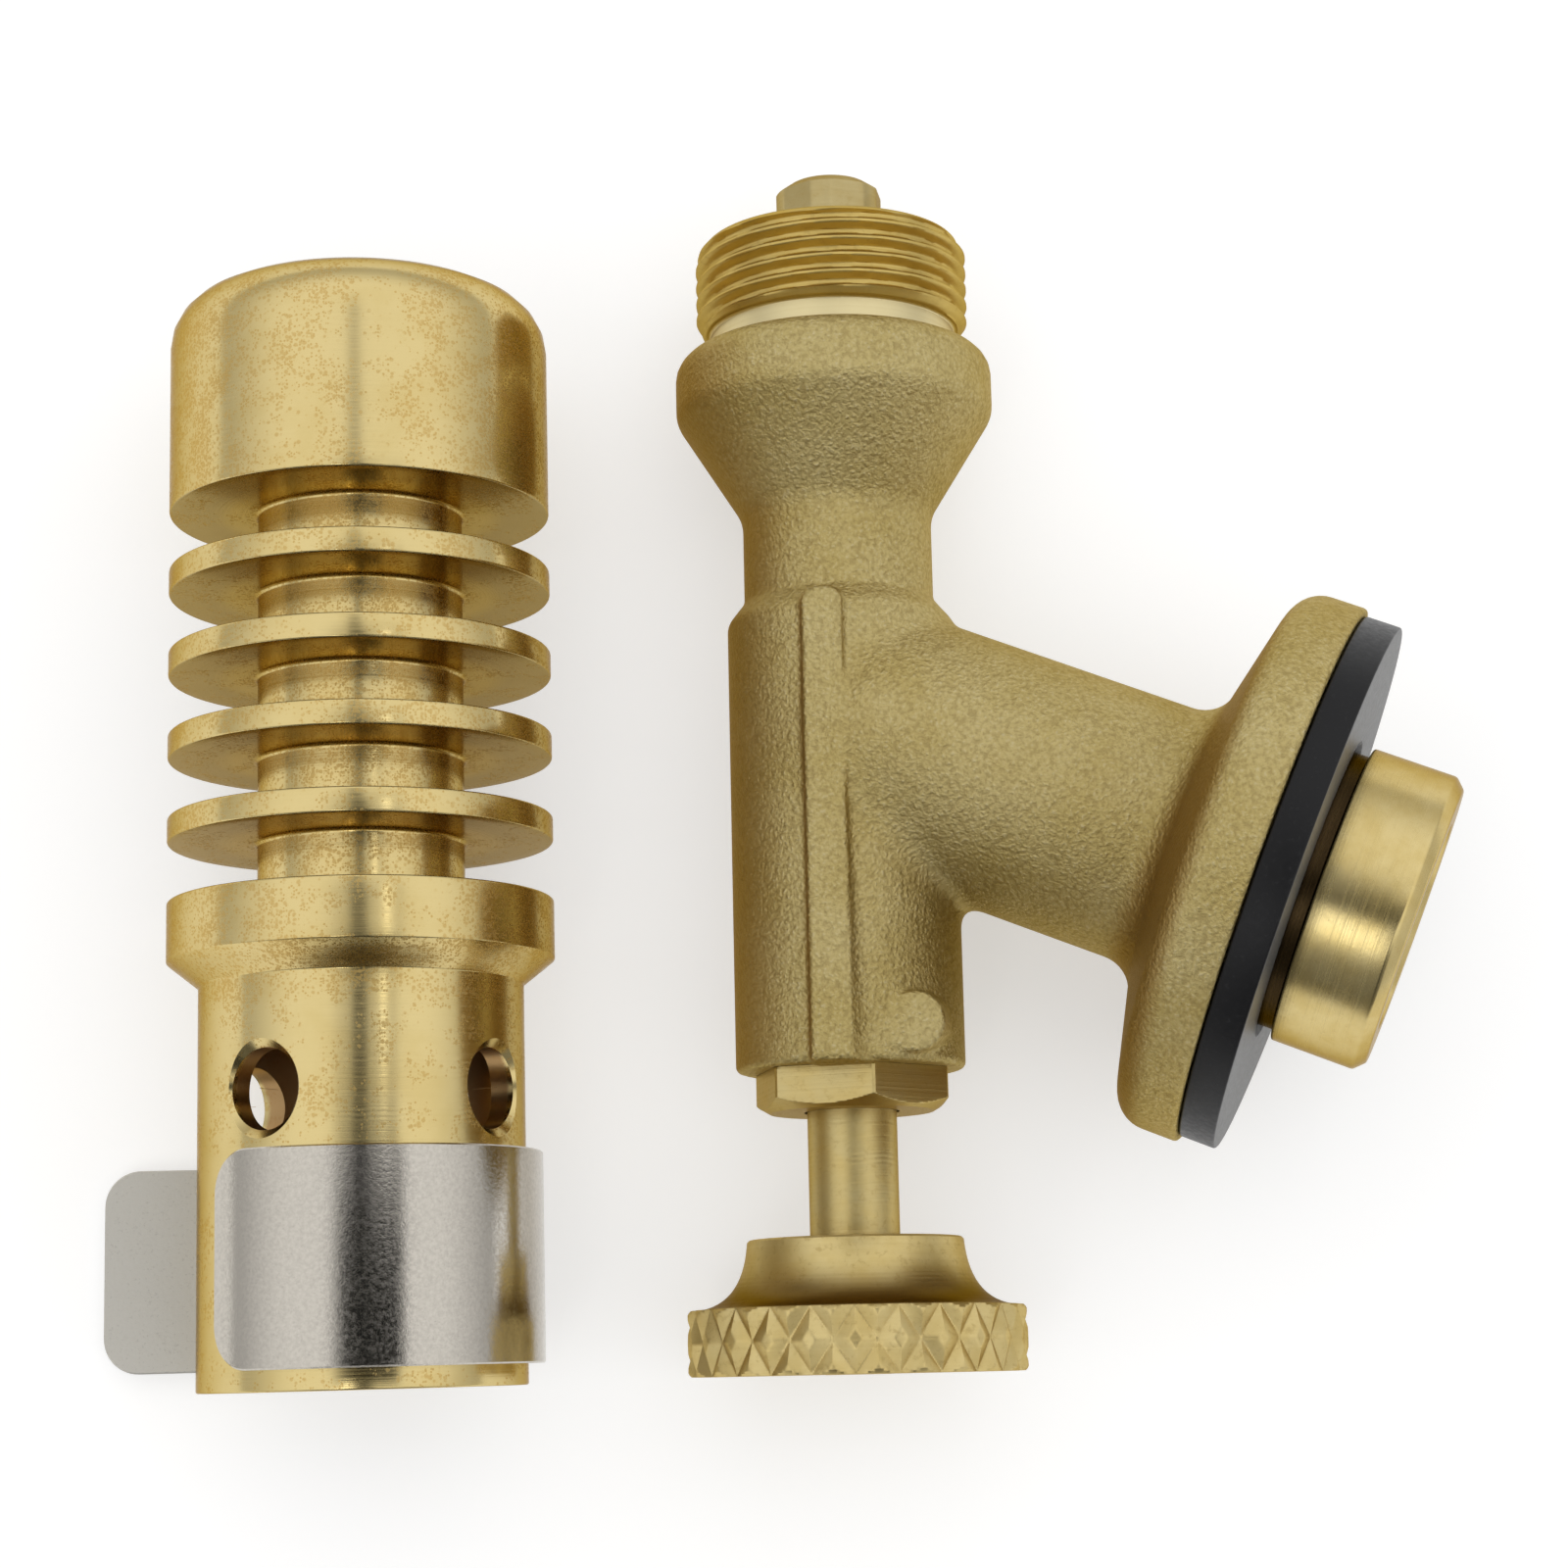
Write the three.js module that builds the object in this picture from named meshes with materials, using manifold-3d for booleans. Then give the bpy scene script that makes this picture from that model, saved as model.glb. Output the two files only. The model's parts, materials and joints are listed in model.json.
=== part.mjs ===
// Brass blow lamp, taken apart as it is stored: the finned burner with its air clip, and the valve with
// its needle spindle, jet and inlet flange. Both halves lie side by side on one flat surface.
// Lengths are in millimetres and angles in degrees. +Z is up, and Z = 0 is the surface.

import * as THREE from 'three';
import { mergeVertices } from 'three/addons/utils/BufferGeometryUtils.js';
import Module from 'manifold-3d';

const wasm = await Module();
wasm.setup();

// Counts of sides and steps
const largeSides = 36;
const smallSides = 20;
const ringSides = 16;
const arcSteps = 4;

// Clearances and the overrun of cuts
const seatGap = 0.25;
const slideGap = 0.15;
const overrun = 1;
const edgeChamfer = 0.3;

// Screw thread shared by valve head and burner
const headThreadRadius = 8;
const headThreadLength = 5.25;

// Burner, measured along its axis from the open end of the tube
const barRadius = 10.72;
const tubeRadius = 8.97;
const tubeWall = 1.55;
const tubeChamfer = 0.15;
const tubeLength = 21.95;
const collarConeLength = 1.4;
const collarLand = 3.3;
const finCount = 4;
const finThickness = 1.4;
const finGap = 3.33;
const neckRadius = 5.76;
const headLength = 12.7;
const headRound = 3.1;
const headWall = 3.4;
const headFloor = 2.6;
const holderLedge = 1;
const mixingRadius = 3.6;
const mixingConeAngle = 59;
const burnerThreadDepth = 8;

// Air holes round the burner tube
const airHoleCount = 4;
const airHoleRadius = 2.2;
const airHoleSink = 0.5;
const airHolePlace = 15.8;
const airHoleTurn = 55;

// Flame holder, a slotted ring pressed into the burner head
const holderThickness = 4;
const holderInset = 2.4;
const holderSlotCount = 12;
const holderSlotWidth = 1.2;
const holderSlotDepth = 1.8;

// Air clip, a sprung strip round the tube
const clipThickness = 0.5;
const clipWidth = 11.5;
const clipPlace = 1.15;
const clipBulge = 0.3;
const clipEndAngle = 142;
const clipTabReach = 14.9;
const clipCorner = 2;
const clipEndCorner = 2.3;

// Valve casting, measured up its trunk from the face that the bonnet nut seats on
const trunkRadius = 6.5;
const trunkHeight = 25.9;
const shoulderRise = 1.3;
const shoulderRound = 1;
const valveNeckRadius = 5.49;
const bulbConeStart = 32.3;
const bulbConeEnd = 38.4;
const bulbRadius = 9.28;
const bulbTop = 42.1;
const bulbRound = 1.4;
const reliefLength = 1.45;
const reliefRadius = 7.15;
const headChamfer = 0.6;

// Flat rib and round pad proud of the trunk
const ribWidth = 2.3;
const ribProud = 0.65;
const ribRound = 0.9;
const ribTop = 26.6;
const padRadius = 1.7;
const padProud = 0.85;
const padSide = 4.4;
const padHeight = 2.1;

// Arm with flange and spigot, measured along the arm from the trunk's axis
const armDroop = 22.7;
const armHeight = 20.1;
const armRadius = 7.45;
const armRootCentre = 4.9;
const armRootLength = 8.9;
const crotchRound = 0.9;
const crotchSpread = 4.9;
const crotchProud = 0.04;
const flangeRadius = 15.77;
const flangePlace = 26.2;
const flangeLand = 2.05;
const flangeRound = 1.9;
const flangeConeAngle = 14.5;
const flangeFillet = 2;
const waistRadius = 8.05;
const waistShow = 0.8;
const spigotRadius = 8.6;
const spigotLength = 5.35;
const spigotChamfer = 0.6;

// Inlet socket in the spigot, for a 7/16 inch cartridge thread, and what it holds
const socketRadius = 5.55;
const socketDepth = 9.4;
const inletBoreRadius = 2.1;
const inletBoreDepth = 8;
const gasBoreRadius = 1.4;
const washerThickness = 1.85;
const washerRadius = 15.4;
const washerPlay = 0.4;
const inletRingRadius = 3.75;
const inletRingSection = 0.85;
const pinRadius = 0.8;
const pinReach = 4.2;
const pinHubLength = 4;
const pinHubTail = 0.8;
const pinSlotCount = 3;
const pinSlotWidth = 1.1;
const gauzeThickness = 0.6;

// Bores up the trunk's axis
const bonnetBoreRadius = 4;
const bonnetBoreDepth = 6.6;
const screwBoreRadius = 3.5;
const screwBoreTop = 13;
const ringBoreRadius = 2.95;
const ringBoreTop = 23.2;
const seatConeAngle = 45;
const seatHoleRadius = 1;
const filterBoreRadius = 2.25;
const filterRoom = 3;
const jetThreadRadius = 2.7;
const jetThreadLength = 4.2;
const jetRecessRadius = 3.6;
const jetRecessDepth = 1.4;

// Jet
const jetRadius = 3.17;
const jetReach = 3.9;
const jetChamfer = 0.55;
const jetBoreRadius = 1.2;
const jetHoleRadius = 0.35;
const jetCapThickness = 1.2;
const jetWasherThickness = 0.6;
const filterLength = 2.2;

// Spindle and packing
const stemRadius = 2.53;
const screwPitch = 0.75;
const screwTurns = 2.5;
const screwLength = 3;
const ringGrooveWidth = 1.7;
const ringSection = 0.8;
const ringLand = 0.8;
const noseRadius = 2.1;
const noseLength = 2.2;
const spindleNeckRadius = 1.55;
const padTipRadius = 1.3;
const padTipThickness = 1.4;
const padTipProud = 0.5;
const packingRadius = 3.7;
const packingLength = 1.6;
const packingWasherLength = 0.7;

// Bonnet nut
const nutFlats = 9.9;
const nutHeight = 2.33;
const nutCornerTurn = 51;
const nutChamferAngle = 30;
const nutShankLength = 3.2;

// Knob, measured outwards from the trunk's seating face
const knobDiscPlace = 9.4;
const knobDiscRadius = 6.08;
const knurlRadius = 9.48;
const knurlPlace = 13.2;
const knurlLength = 3.65;
const knurlCount = 24;
const knurlDepth = 0.45;
const knurlFlatShare = 0.3;
const knurlChamfer = 0.2;
const knurlOffset = 3.6;
const flareRadius = 8.8;
const knobSeatDepth = 0.8;
const knobSpigotRadius = 1.9;

// How the two halves lie: how far apart, and how far the valve is turned in plan
const layApart = 27.39;
const valveAhead = 0.05;
const valveYaw = -0.37;

// Sizes that follow from the ones above
const turn = THREE.MathUtils.degToRad;
const finPitch = finThickness + finGap;
const collarStart = tubeLength + collarConeLength;
const collarTop = collarStart + collarLand;
const headStart = collarTop + finGap + finCount * finPitch;
const burnerLength = headStart + headLength;
const chamberRadius = tubeRadius - tubeWall;
const cavityRadius = barRadius - headWall;
const holderTop = burnerLength - holderInset;
const holderSeat = holderTop - holderThickness - seatGap;
const threadBoreRadius = headThreadRadius + slideGap;
const threadStart = bulbTop + reliefLength;
const headTop = threadStart + headThreadLength;
const jetTop = headTop + jetReach;
const jetThreadStart = headTop - jetThreadLength;
const filterBoreStart = jetThreadStart - filterRoom;
const jetShoulder = headTop - jetRecessDepth + 2 * seatGap + jetWasherThickness;
const rimPlace = flangePlace - flangeLand;
const spigotStart = flangePlace + washerThickness + seatGap + waistShow;
const spigotEnd = spigotStart + spigotLength;
const socketFloor = spigotEnd - socketDepth;
const inletBoreFloor = socketFloor - inletBoreDepth;
const spindleTravel = screwPitch * screwTurns;
const packingTop = nutShankLength + seatGap + packingLength;
const packingWasherTop = packingTop + seatGap + packingWasherLength;
const screwStart = packingWasherTop + seatGap + spindleTravel;
const screwEnd = screwStart + screwLength;
const grooveStart = screwEnd + ringLand;
const grooveEnd = grooveStart + ringGrooveWidth;
const ringMiddle = (grooveStart + grooveEnd) / 2;
const seatPlane = ringBoreTop + (ringBoreRadius - seatHoleRadius) * Math.tan(turn(90 - seatConeAngle));
const noseEnd = ringBoreTop - seatGap - padTipProud;
const knobFace = knurlPlace + knurlLength;

// Finishes
const turnedBrass = { color: 0xc9ab5e, roughness: 0.32, metalness: 1 };
const castBrass = { color: 0xb39a5c, roughness: 0.62, metalness: 0.9 };
const steel = { color: 0xa8a398, roughness: 0.38, metalness: 1 };
const rubber = { color: 0x1c1c1e, roughness: 0.75, metalness: 0 };
const copper = { color: 0xb87333, roughness: 0.4, metalness: 1 };
const packingWhite = { color: 0xe6e3da, roughness: 0.6, metalness: 0 };
const bronze = { color: 0x9a7a4a, roughness: 0.8, metalness: 0.8 };

// Outline through corners [x, y, radius], each corner with a radius rounded by an arc
function outline(corners, steps = arcSteps) {
  const points = [];
  corners.forEach(([x, y, radius], i) => {
    const corner = new THREE.Vector2(x, y);
    if (!radius) {
      points.push(corner);
      return;
    }
    const previous = corners[(i + corners.length - 1) % corners.length];
    const next = corners[(i + 1) % corners.length];
    const before = new THREE.Vector2(...previous).sub(corner).normalize();
    const after = new THREE.Vector2(...next).sub(corner).normalize();
    const half = Math.acos(THREE.MathUtils.clamp(before.dot(after), -1, 1)) / 2;
    const middle = before.clone().add(after).normalize();
    const centre = corner.clone().addScaledVector(middle, radius / Math.sin(half));
    const first = corner.clone().addScaledVector(before, radius / Math.tan(half)).sub(centre);
    const last = corner.clone().addScaledVector(after, radius / Math.tan(half)).sub(centre);
    const sweep = Math.atan2(first.cross(last), first.dot(last));
    for (let step = 0; step <= steps; step += 1) {
      points.push(first.clone().rotateAround(new THREE.Vector2(), sweep * step / steps).add(centre));
    }
  });
  return points;
}

// Solid from a closed geometry, with shared vertices merged and empty triangles dropped
function toSolid(geometry) {
  const bare = geometry.clone();
  bare.deleteAttribute('normal');
  bare.deleteAttribute('uv');
  const merged = mergeVertices(bare, 1e-4);
  const index = merged.index.array;
  const kept = [];
  for (let i = 0; i < index.length; i += 3) {
    const [a, b, c] = [index[i], index[i + 1], index[i + 2]];
    if (a !== b && b !== c && c !== a) {
      kept.push(a, b, c);
    }
  }
  const vertProperties = new Float32Array(merged.attributes.position.array);
  const triVerts = new Uint32Array(kept);
  return new wasm.Manifold(new wasm.Mesh({ numProp: 3, vertProperties, triVerts }));
}

// Geometry from a solid
function toGeometry(solid) {
  const mesh = solid.getMesh();
  const geometry = new THREE.BufferGeometry();
  geometry.setAttribute('position', new THREE.BufferAttribute(new Float32Array(mesh.vertProperties), 3));
  geometry.setIndex(new THREE.BufferAttribute(new Uint32Array(mesh.triVerts), 1));
  return geometry;
}

// Piece of the object: a named mesh with its finish
function piece(name, solid, finish) {
  const material = new THREE.MeshStandardMaterial({ ...finish, flatShading: true });
  const mesh = new THREE.Mesh(toGeometry(solid), material);
  mesh.name = name;
  return mesh;
}

// Body of revolution about +Z from an outline of [radius, height, rounding] corners, listed anticlockwise
function turned(corners, sides = largeSides) {
  const points = outline(corners);
  points.push(points[0].clone());
  return new THREE.LatheGeometry(points, sides).rotateX(turn(90));
}

// Plain turned ring or plug between two heights
function collar(inner, outer, low, high, sides = smallSides) {
  return turned([[inner, low], [outer, low], [outer, high], [inner, high]], sides);
}

// Closed body through sections of the same number of points, with both ends capped
function lofted(sections) {
  const count = sections[0].length;
  const positions = sections.flat().flatMap((point) => [point.x, point.y, point.z]);
  const index = [];
  for (let row = 0; row + 1 < sections.length; row += 1) {
    for (let k = 0; k < count; k += 1) {
      const a = row * count + k;
      const b = row * count + (k + 1) % count;
      index.push(a, b, b + count, a, b + count, a + count);
    }
  }
  const lastRow = (sections.length - 1) * count;
  for (let k = 1; k + 1 < count; k += 1) {
    index.push(0, k + 1, k, lastRow, lastRow + k, lastRow + k + 1);
  }
  const geometry = new THREE.BufferGeometry();
  geometry.setAttribute('position', new THREE.Float32BufferAttribute(positions, 3));
  geometry.setIndex(index);
  return geometry;
}

// Union of a tool repeated evenly round +Z
function repeatedRound(makeTool, count, firstTurn) {
  let all = null;
  for (let i = 0; i < count; i += 1) {
    const tool = toSolid(makeTool().rotateZ(turn(firstTurn + i * 360 / count)));
    all = all ? all.add(tool) : tool;
  }
  return all;
}

// Outside of the burner bar from the tube's end: tube, collar, fins, neck and head
function burnerOutside() {
  const corners = [
    [tubeRadius - tubeChamfer, 0],
    [tubeRadius, tubeChamfer],
    [tubeRadius, tubeLength],
    [barRadius, collarStart],
    [barRadius, collarTop],
    [neckRadius, collarTop],
  ];
  for (let i = 0; i < finCount; i += 1) {
    const start = collarTop + finGap + i * finPitch;
    corners.push([neckRadius, start], [barRadius, start]);
    corners.push([barRadius, start + finThickness], [neckRadius, start + finThickness]);
  }
  corners.push([neckRadius, headStart], [barRadius, headStart]);
  corners.push([barRadius, burnerLength, headRound]);
  return corners;
}

// Burner bores from the mouth down: stepped cavity, mixing bore, drill cone, air chamber, thread
function burnerInside() {
  const coneRise = (chamberRadius - mixingRadius) / Math.tan(turn(mixingConeAngle));
  return [
    [cavityRadius, burnerLength],
    [cavityRadius, holderSeat],
    [cavityRadius - holderLedge, holderSeat],
    [cavityRadius - holderLedge, headStart + headFloor],
    [mixingRadius, headStart + headFloor],
    [mixingRadius, tubeLength + coneRise],
    [chamberRadius, tubeLength],
    [chamberRadius, burnerThreadDepth],
    [threadBoreRadius, burnerThreadDepth],
    [threadBoreRadius, tubeChamfer],
    [threadBoreRadius + tubeChamfer, 0],
  ];
}

// Countersunk air hole, lying along +X
function airHoleTool() {
  const sinkRadius = airHoleRadius + airHoleSink;
  const far = tubeRadius + overrun;
  return turned([
    [0, chamberRadius - overrun],
    [airHoleRadius, chamberRadius - overrun],
    [airHoleRadius, tubeRadius - airHoleSink],
    [sinkRadius, tubeRadius],
    [sinkRadius, far],
    [0, far],
  ], smallSides).rotateY(turn(90));
}

function makeBurnerTube() {
  const holes = repeatedRound(airHoleTool, airHoleCount, airHoleTurn - 90);
  const bar = toSolid(turned([...burnerOutside(), ...burnerInside()]));
  return piece('burner_tube', bar.subtract(holes.translate([0, 0, airHolePlace])), turnedBrass);
}

// Slotted ring that keeps the flame at the mouth
function makeFlameHolder() {
  const radius = cavityRadius - seatGap;
  const ring = toSolid(collar(mixingRadius, radius, holderTop - holderThickness, holderTop, largeSides));
  const slotLength = holderThickness + 2 * overrun;
  const slot = () => new THREE.BoxGeometry(2 * holderSlotDepth, holderSlotWidth, slotLength)
    .translate(radius, 0, holderTop - holderThickness / 2);
  return piece('flame_holder', ring.subtract(repeatedRound(slot, holderSlotCount, 0)), turnedBrass);
}

// Path of the clip's strip in the plane across the tube: tab below, right side, front on top
function clipPath() {
  const centreRadius = tubeRadius + slideGap + clipThickness / 2;
  const stations = [];
  const tabSteps = 7;
  for (let i = 0; i < tabSteps; i += 1) {
    const place = new THREE.Vector2(-clipTabReach * (1 - i / tabSteps), centreRadius);
    stations.push({ place, outward: new THREE.Vector2(0, 1) });
  }
  const wrapSteps = 34;
  for (let i = 0; i <= wrapSteps; i += 1) {
    const angle = 90 - (clipEndAngle + 90) * i / wrapSteps;
    const outward = new THREE.Vector2(Math.cos(turn(angle)), Math.sin(turn(angle)));
    const bulge = clipBulge * Math.max(0, Math.cos(turn(angle))) ** 2;
    stations.push({ place: outward.clone().multiplyScalar(centreRadius + bulge), outward });
  }
  return stations;
}

// Half width of the strip at a distance from its end, rounded at the corners
function cornerHalfWidth(distance, radius) {
  const inside = Math.max(0, radius - distance);
  return clipWidth / 2 - radius + Math.sqrt(Math.max(0, radius ** 2 - inside ** 2));
}

// Stations of the strip, with extra ones where its end corners are round
function makeAirClip() {
  const stations = clipPath();
  const lengths = [0];
  for (let i = 1; i < stations.length; i += 1) {
    lengths.push(lengths[i - 1] + stations[i].place.distanceTo(stations[i - 1].place));
  }
  const total = lengths[lengths.length - 1];
  const at = (along) => {
    const i = Math.max(1, lengths.findIndex((length) => length >= along - 1e-9));
    const share = (along - lengths[i - 1]) / (lengths[i] - lengths[i - 1]);
    return {
      place: stations[i - 1].place.clone().lerp(stations[i].place, share),
      outward: stations[i - 1].outward.clone().lerp(stations[i].outward, share).normalize(),
    };
  };
  const cornerSteps = 5;
  const places = lengths.filter((length) => length > clipEndCorner && length < total - clipCorner);
  for (let i = 0; i <= cornerSteps; i += 1) {
    const share = 1 - Math.cos(turn(90 * i / cornerSteps));
    places.push(clipEndCorner * share, total - clipCorner * share);
  }
  places.sort((a, b) => a - b);
  const middle = clipPlace + clipWidth / 2;
  const sections = places.map((along) => {
    const { place, outward } = at(along);
    const half = Math.min(cornerHalfWidth(along, clipEndCorner), cornerHalfWidth(total - along, clipCorner));
    const inner = place.clone().addScaledVector(outward, -clipThickness / 2);
    const outer = place.clone().addScaledVector(outward, clipThickness / 2);
    return [
      new THREE.Vector3(inner.x, inner.y, middle - half),
      new THREE.Vector3(outer.x, outer.y, middle - half),
      new THREE.Vector3(outer.x, outer.y, middle + half),
      new THREE.Vector3(inner.x, inner.y, middle + half),
    ];
  });
  return piece('air_clip', toSolid(lofted(sections)), steel);
}

// Frame of the arm: +Z along the arm, which droops away from the jet
function armFrame() {
  const frame = new THREE.Matrix4().makeRotationY(turn(90 + armDroop));
  return frame.setPosition(0, 0, armHeight);
}

// Trunk, shoulder, neck, bulb and plain threaded head
function trunkOutside() {
  return toSolid(turned([
    [0, 0],
    [trunkRadius - edgeChamfer, 0],
    [trunkRadius, edgeChamfer],
    [trunkRadius, trunkHeight, shoulderRound],
    [valveNeckRadius, trunkHeight + shoulderRise],
    [valveNeckRadius, bulbConeStart, headRound],
    [bulbRadius, bulbConeEnd, bulbRound],
    [bulbRadius, bulbTop, bulbRound],
    [reliefRadius, bulbTop],
    [reliefRadius, threadStart],
    [headThreadRadius, threadStart + headChamfer],
    [headThreadRadius, headTop - headChamfer],
    [headThreadRadius - headChamfer, headTop],
    [0, headTop],
  ]));
}

// Arm with its rounded root, flange, waist and spigot
function armOutside() {
  const coneSlope = Math.tan(turn(flangeConeAngle));
  const landStart = rimPlace - flangeRound * Math.tan(turn((90 - flangeConeAngle) / 2));
  const coneFoot = landStart - coneSlope * (flangeRadius - armRadius);
  const root = [];
  for (let i = 0; i <= 2 * arcSteps; i += 1) {
    const angle = turn(90 * i / (2 * arcSteps));
    root.push([armRadius * Math.sin(angle), armRootCentre - armRootLength * Math.cos(angle)]);
  }
  return toSolid(turned([
    ...root,
    [armRadius, coneFoot, flangeFillet],
    [flangeRadius, landStart, flangeRound],
    [flangeRadius, flangePlace - edgeChamfer],
    [flangeRadius - edgeChamfer, flangePlace],
    [waistRadius, flangePlace],
    [waistRadius, spigotStart],
    [spigotRadius, spigotStart],
    [spigotRadius, spigotEnd - spigotChamfer],
    [spigotRadius - spigotChamfer, spigotEnd],
    [0, spigotEnd],
  ])).transform(armFrame().toArray());
}

// Flat rib up the front of the trunk, with a rounded top end
function trunkRib() {
  const half = ribWidth / 2;
  const points = outline([[-half, 0], [half, 0], [half, ribTop, ribRound], [-half, ribTop, ribRound]]);
  const shape = new THREE.Shape(points);
  const depth = trunkRadius / 2 + ribProud;
  const geometry = new THREE.ExtrudeGeometry(shape, { depth, bevelEnabled: false });
  return toSolid(geometry.rotateX(turn(90)).translate(0, -trunkRadius / 2, 0));
}

// Round pad proud of the trunk beside the rib
function trunkPad() {
  const surface = Math.sqrt(trunkRadius ** 2 - padSide ** 2);
  const pad = collar(0, padRadius, 0, surface + padProud).rotateX(turn(90));
  return toSolid(pad.translate(padSide, 0, padHeight));
}

// Fillet in the crotch, one section for each depth, so that it follows the crease of trunk and arm
function crotchFillet() {
  const sections = [];
  const steps = 5;
  const inset = edgeChamfer;
  const [sine, cosine] = [Math.sin(turn(armDroop)), Math.cos(turn(armDroop))];
  for (let i = steps - 0.5; i > -steps; i -= 1) {
    const depth = crotchSpread * Math.sin(turn(90 * i / steps));
    const side = Math.sqrt(trunkRadius ** 2 - depth ** 2) + crotchProud;
    const under = Math.sqrt(armRadius ** 2 - depth ** 2) + crotchProud;
    const radius = crotchRound * Math.max(0.2, Math.cos(turn(90 * i / steps)));
    const x = side + radius;
    const z = armHeight - (under + radius + sine * x) / cosine;
    const section = [new THREE.Vector3(side - inset, depth, z)];
    for (let step = 0; step <= arcSteps; step += 1) {
      const angle = turn(180 - (90 + armDroop) * step / arcSteps);
      section.push(new THREE.Vector3(x + radius * Math.cos(angle), depth, z + radius * Math.sin(angle)));
    }
    const far = radius + inset;
    section.push(new THREE.Vector3(x + far * sine, depth, z + far * cosine));
    const corner = armHeight - (under - inset + sine * (side - inset)) / cosine;
    section.push(new THREE.Vector3(side - inset, depth, corner));
    sections.push(section);
  }
  return toSolid(lofted(sections));
}

// Bores up the trunk: packing, spindle screw, sliding seal, seat, gas hole, filter, jet
function trunkBores() {
  return toSolid(turned([
    [0, -overrun],
    [bonnetBoreRadius, -overrun],
    [bonnetBoreRadius, bonnetBoreDepth],
    [screwBoreRadius, bonnetBoreDepth],
    [screwBoreRadius, screwBoreTop],
    [ringBoreRadius, screwBoreTop],
    [ringBoreRadius, ringBoreTop],
    [seatHoleRadius, seatPlane],
    [seatHoleRadius, filterBoreStart],
    [filterBoreRadius, filterBoreStart],
    [filterBoreRadius, jetThreadStart],
    [jetThreadRadius, jetThreadStart],
    [jetThreadRadius, headTop - jetRecessDepth],
    [jetRecessRadius, headTop - jetRecessDepth],
    [jetRecessRadius, headTop + overrun],
    [0, headTop + overrun],
  ], smallSides));
}

// Bores along the arm: gas passage, filter step and the cartridge socket
function armBores() {
  return toSolid(turned([
    [0, 0],
    [gasBoreRadius, 0],
    [gasBoreRadius, inletBoreFloor],
    [inletBoreRadius, inletBoreFloor],
    [inletBoreRadius, socketFloor],
    [socketRadius, socketFloor],
    [socketRadius, spigotEnd - edgeChamfer],
    [socketRadius + edgeChamfer, spigotEnd],
    [socketRadius + edgeChamfer, spigotEnd + overrun],
    [0, spigotEnd + overrun],
  ], smallSides)).transform(armFrame().toArray());
}

function makeValveBody() {
  const outside = trunkOutside().add(armOutside()).add(trunkRib()).add(trunkPad()).add(crotchFillet());
  const body = outside.subtract(trunkBores()).subtract(armBores());
  return piece('valve_body', body, castBrass);
}

function makeJet() {
  const shank = jetThreadRadius - slideGap;
  const foot = jetThreadStart + seatGap;
  const jet = turned([
    [jetBoreRadius, foot],
    [shank, foot],
    [shank, jetShoulder],
    [jetRadius, jetShoulder],
    [jetRadius, jetTop - jetChamfer],
    [jetRadius - jetChamfer, jetTop],
    [jetHoleRadius, jetTop],
    [jetHoleRadius, jetTop - jetCapThickness],
    [jetBoreRadius, jetTop - jetCapThickness],
  ], smallSides);
  return piece('jet_nipple', toSolid(jet), turnedBrass);
}

function makeJetWasher() {
  const low = headTop - jetRecessDepth + seatGap;
  const ring = collar(jetThreadRadius, jetRecessRadius - seatGap, low, low + jetWasherThickness);
  return piece('jet_washer', toSolid(ring), copper);
}

function makeJetFilter() {
  const low = filterBoreStart + seatGap;
  const plug = collar(0, filterBoreRadius - seatGap, low, low + filterLength, ringSides);
  return piece('jet_filter', toSolid(plug), bronze);
}

// Spindle: knob end, stem, screw, seal groove, neck and nose with the recess for its tip
function makeSpindle() {
  const land = ringBoreRadius - slideGap;
  const tipHole = padTipRadius + slideGap;
  const spindle = turned([
    [0, -knobFace],
    [knobSpigotRadius, -knobFace],
    [knobSpigotRadius, -knobDiscPlace - knobSeatDepth + seatGap],
    [stemRadius, -knobDiscPlace - knobSeatDepth + seatGap],
    [stemRadius, screwStart],
    [screwBoreRadius - slideGap, screwStart],
    [screwBoreRadius - slideGap, screwEnd],
    [land, screwEnd],
    [land, grooveStart],
    [land - ringSection - slideGap, grooveStart],
    [land - ringSection - slideGap, grooveEnd],
    [land, grooveEnd],
    [land, grooveEnd + ringLand],
    [spindleNeckRadius, grooveEnd + ringLand],
    [spindleNeckRadius, noseEnd - noseLength],
    [noseRadius, noseEnd - noseLength],
    [noseRadius, noseEnd],
    [tipHole, noseEnd],
    [tipHole, noseEnd + padTipProud - padTipThickness - seatGap],
    [0, noseEnd + padTipProud - padTipThickness - seatGap],
  ], smallSides);
  return piece('spindle', toSolid(spindle), turnedBrass);
}

function makeSeatPad() {
  const high = noseEnd + padTipProud;
  const pad = collar(0, padTipRadius, high - padTipThickness, high, ringSides);
  return piece('seat_pad', toSolid(pad), rubber);
}

// Round-section seal ring about +Z
function sealRing(radius, section, height) {
  return new THREE.TorusGeometry(radius, section, 8, smallSides).translate(0, 0, height);
}

function makeSpindleRing() {
  const section = ringSection / 2;
  const ring = sealRing(ringBoreRadius - slideGap - section, section, ringMiddle);
  return piece('spindle_o_ring', toSolid(ring), rubber);
}

function makePackingWasher() {
  const ring = collar(stemRadius + slideGap, packingRadius, packingTop + seatGap, packingWasherTop);
  return piece('packing_washer', toSolid(ring), turnedBrass);
}

function makeStemPacking() {
  const ring = collar(stemRadius + slideGap, packingRadius, packingTop - packingLength, packingTop);
  return piece('stem_packing', toSolid(ring), packingWhite);
}

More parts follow.
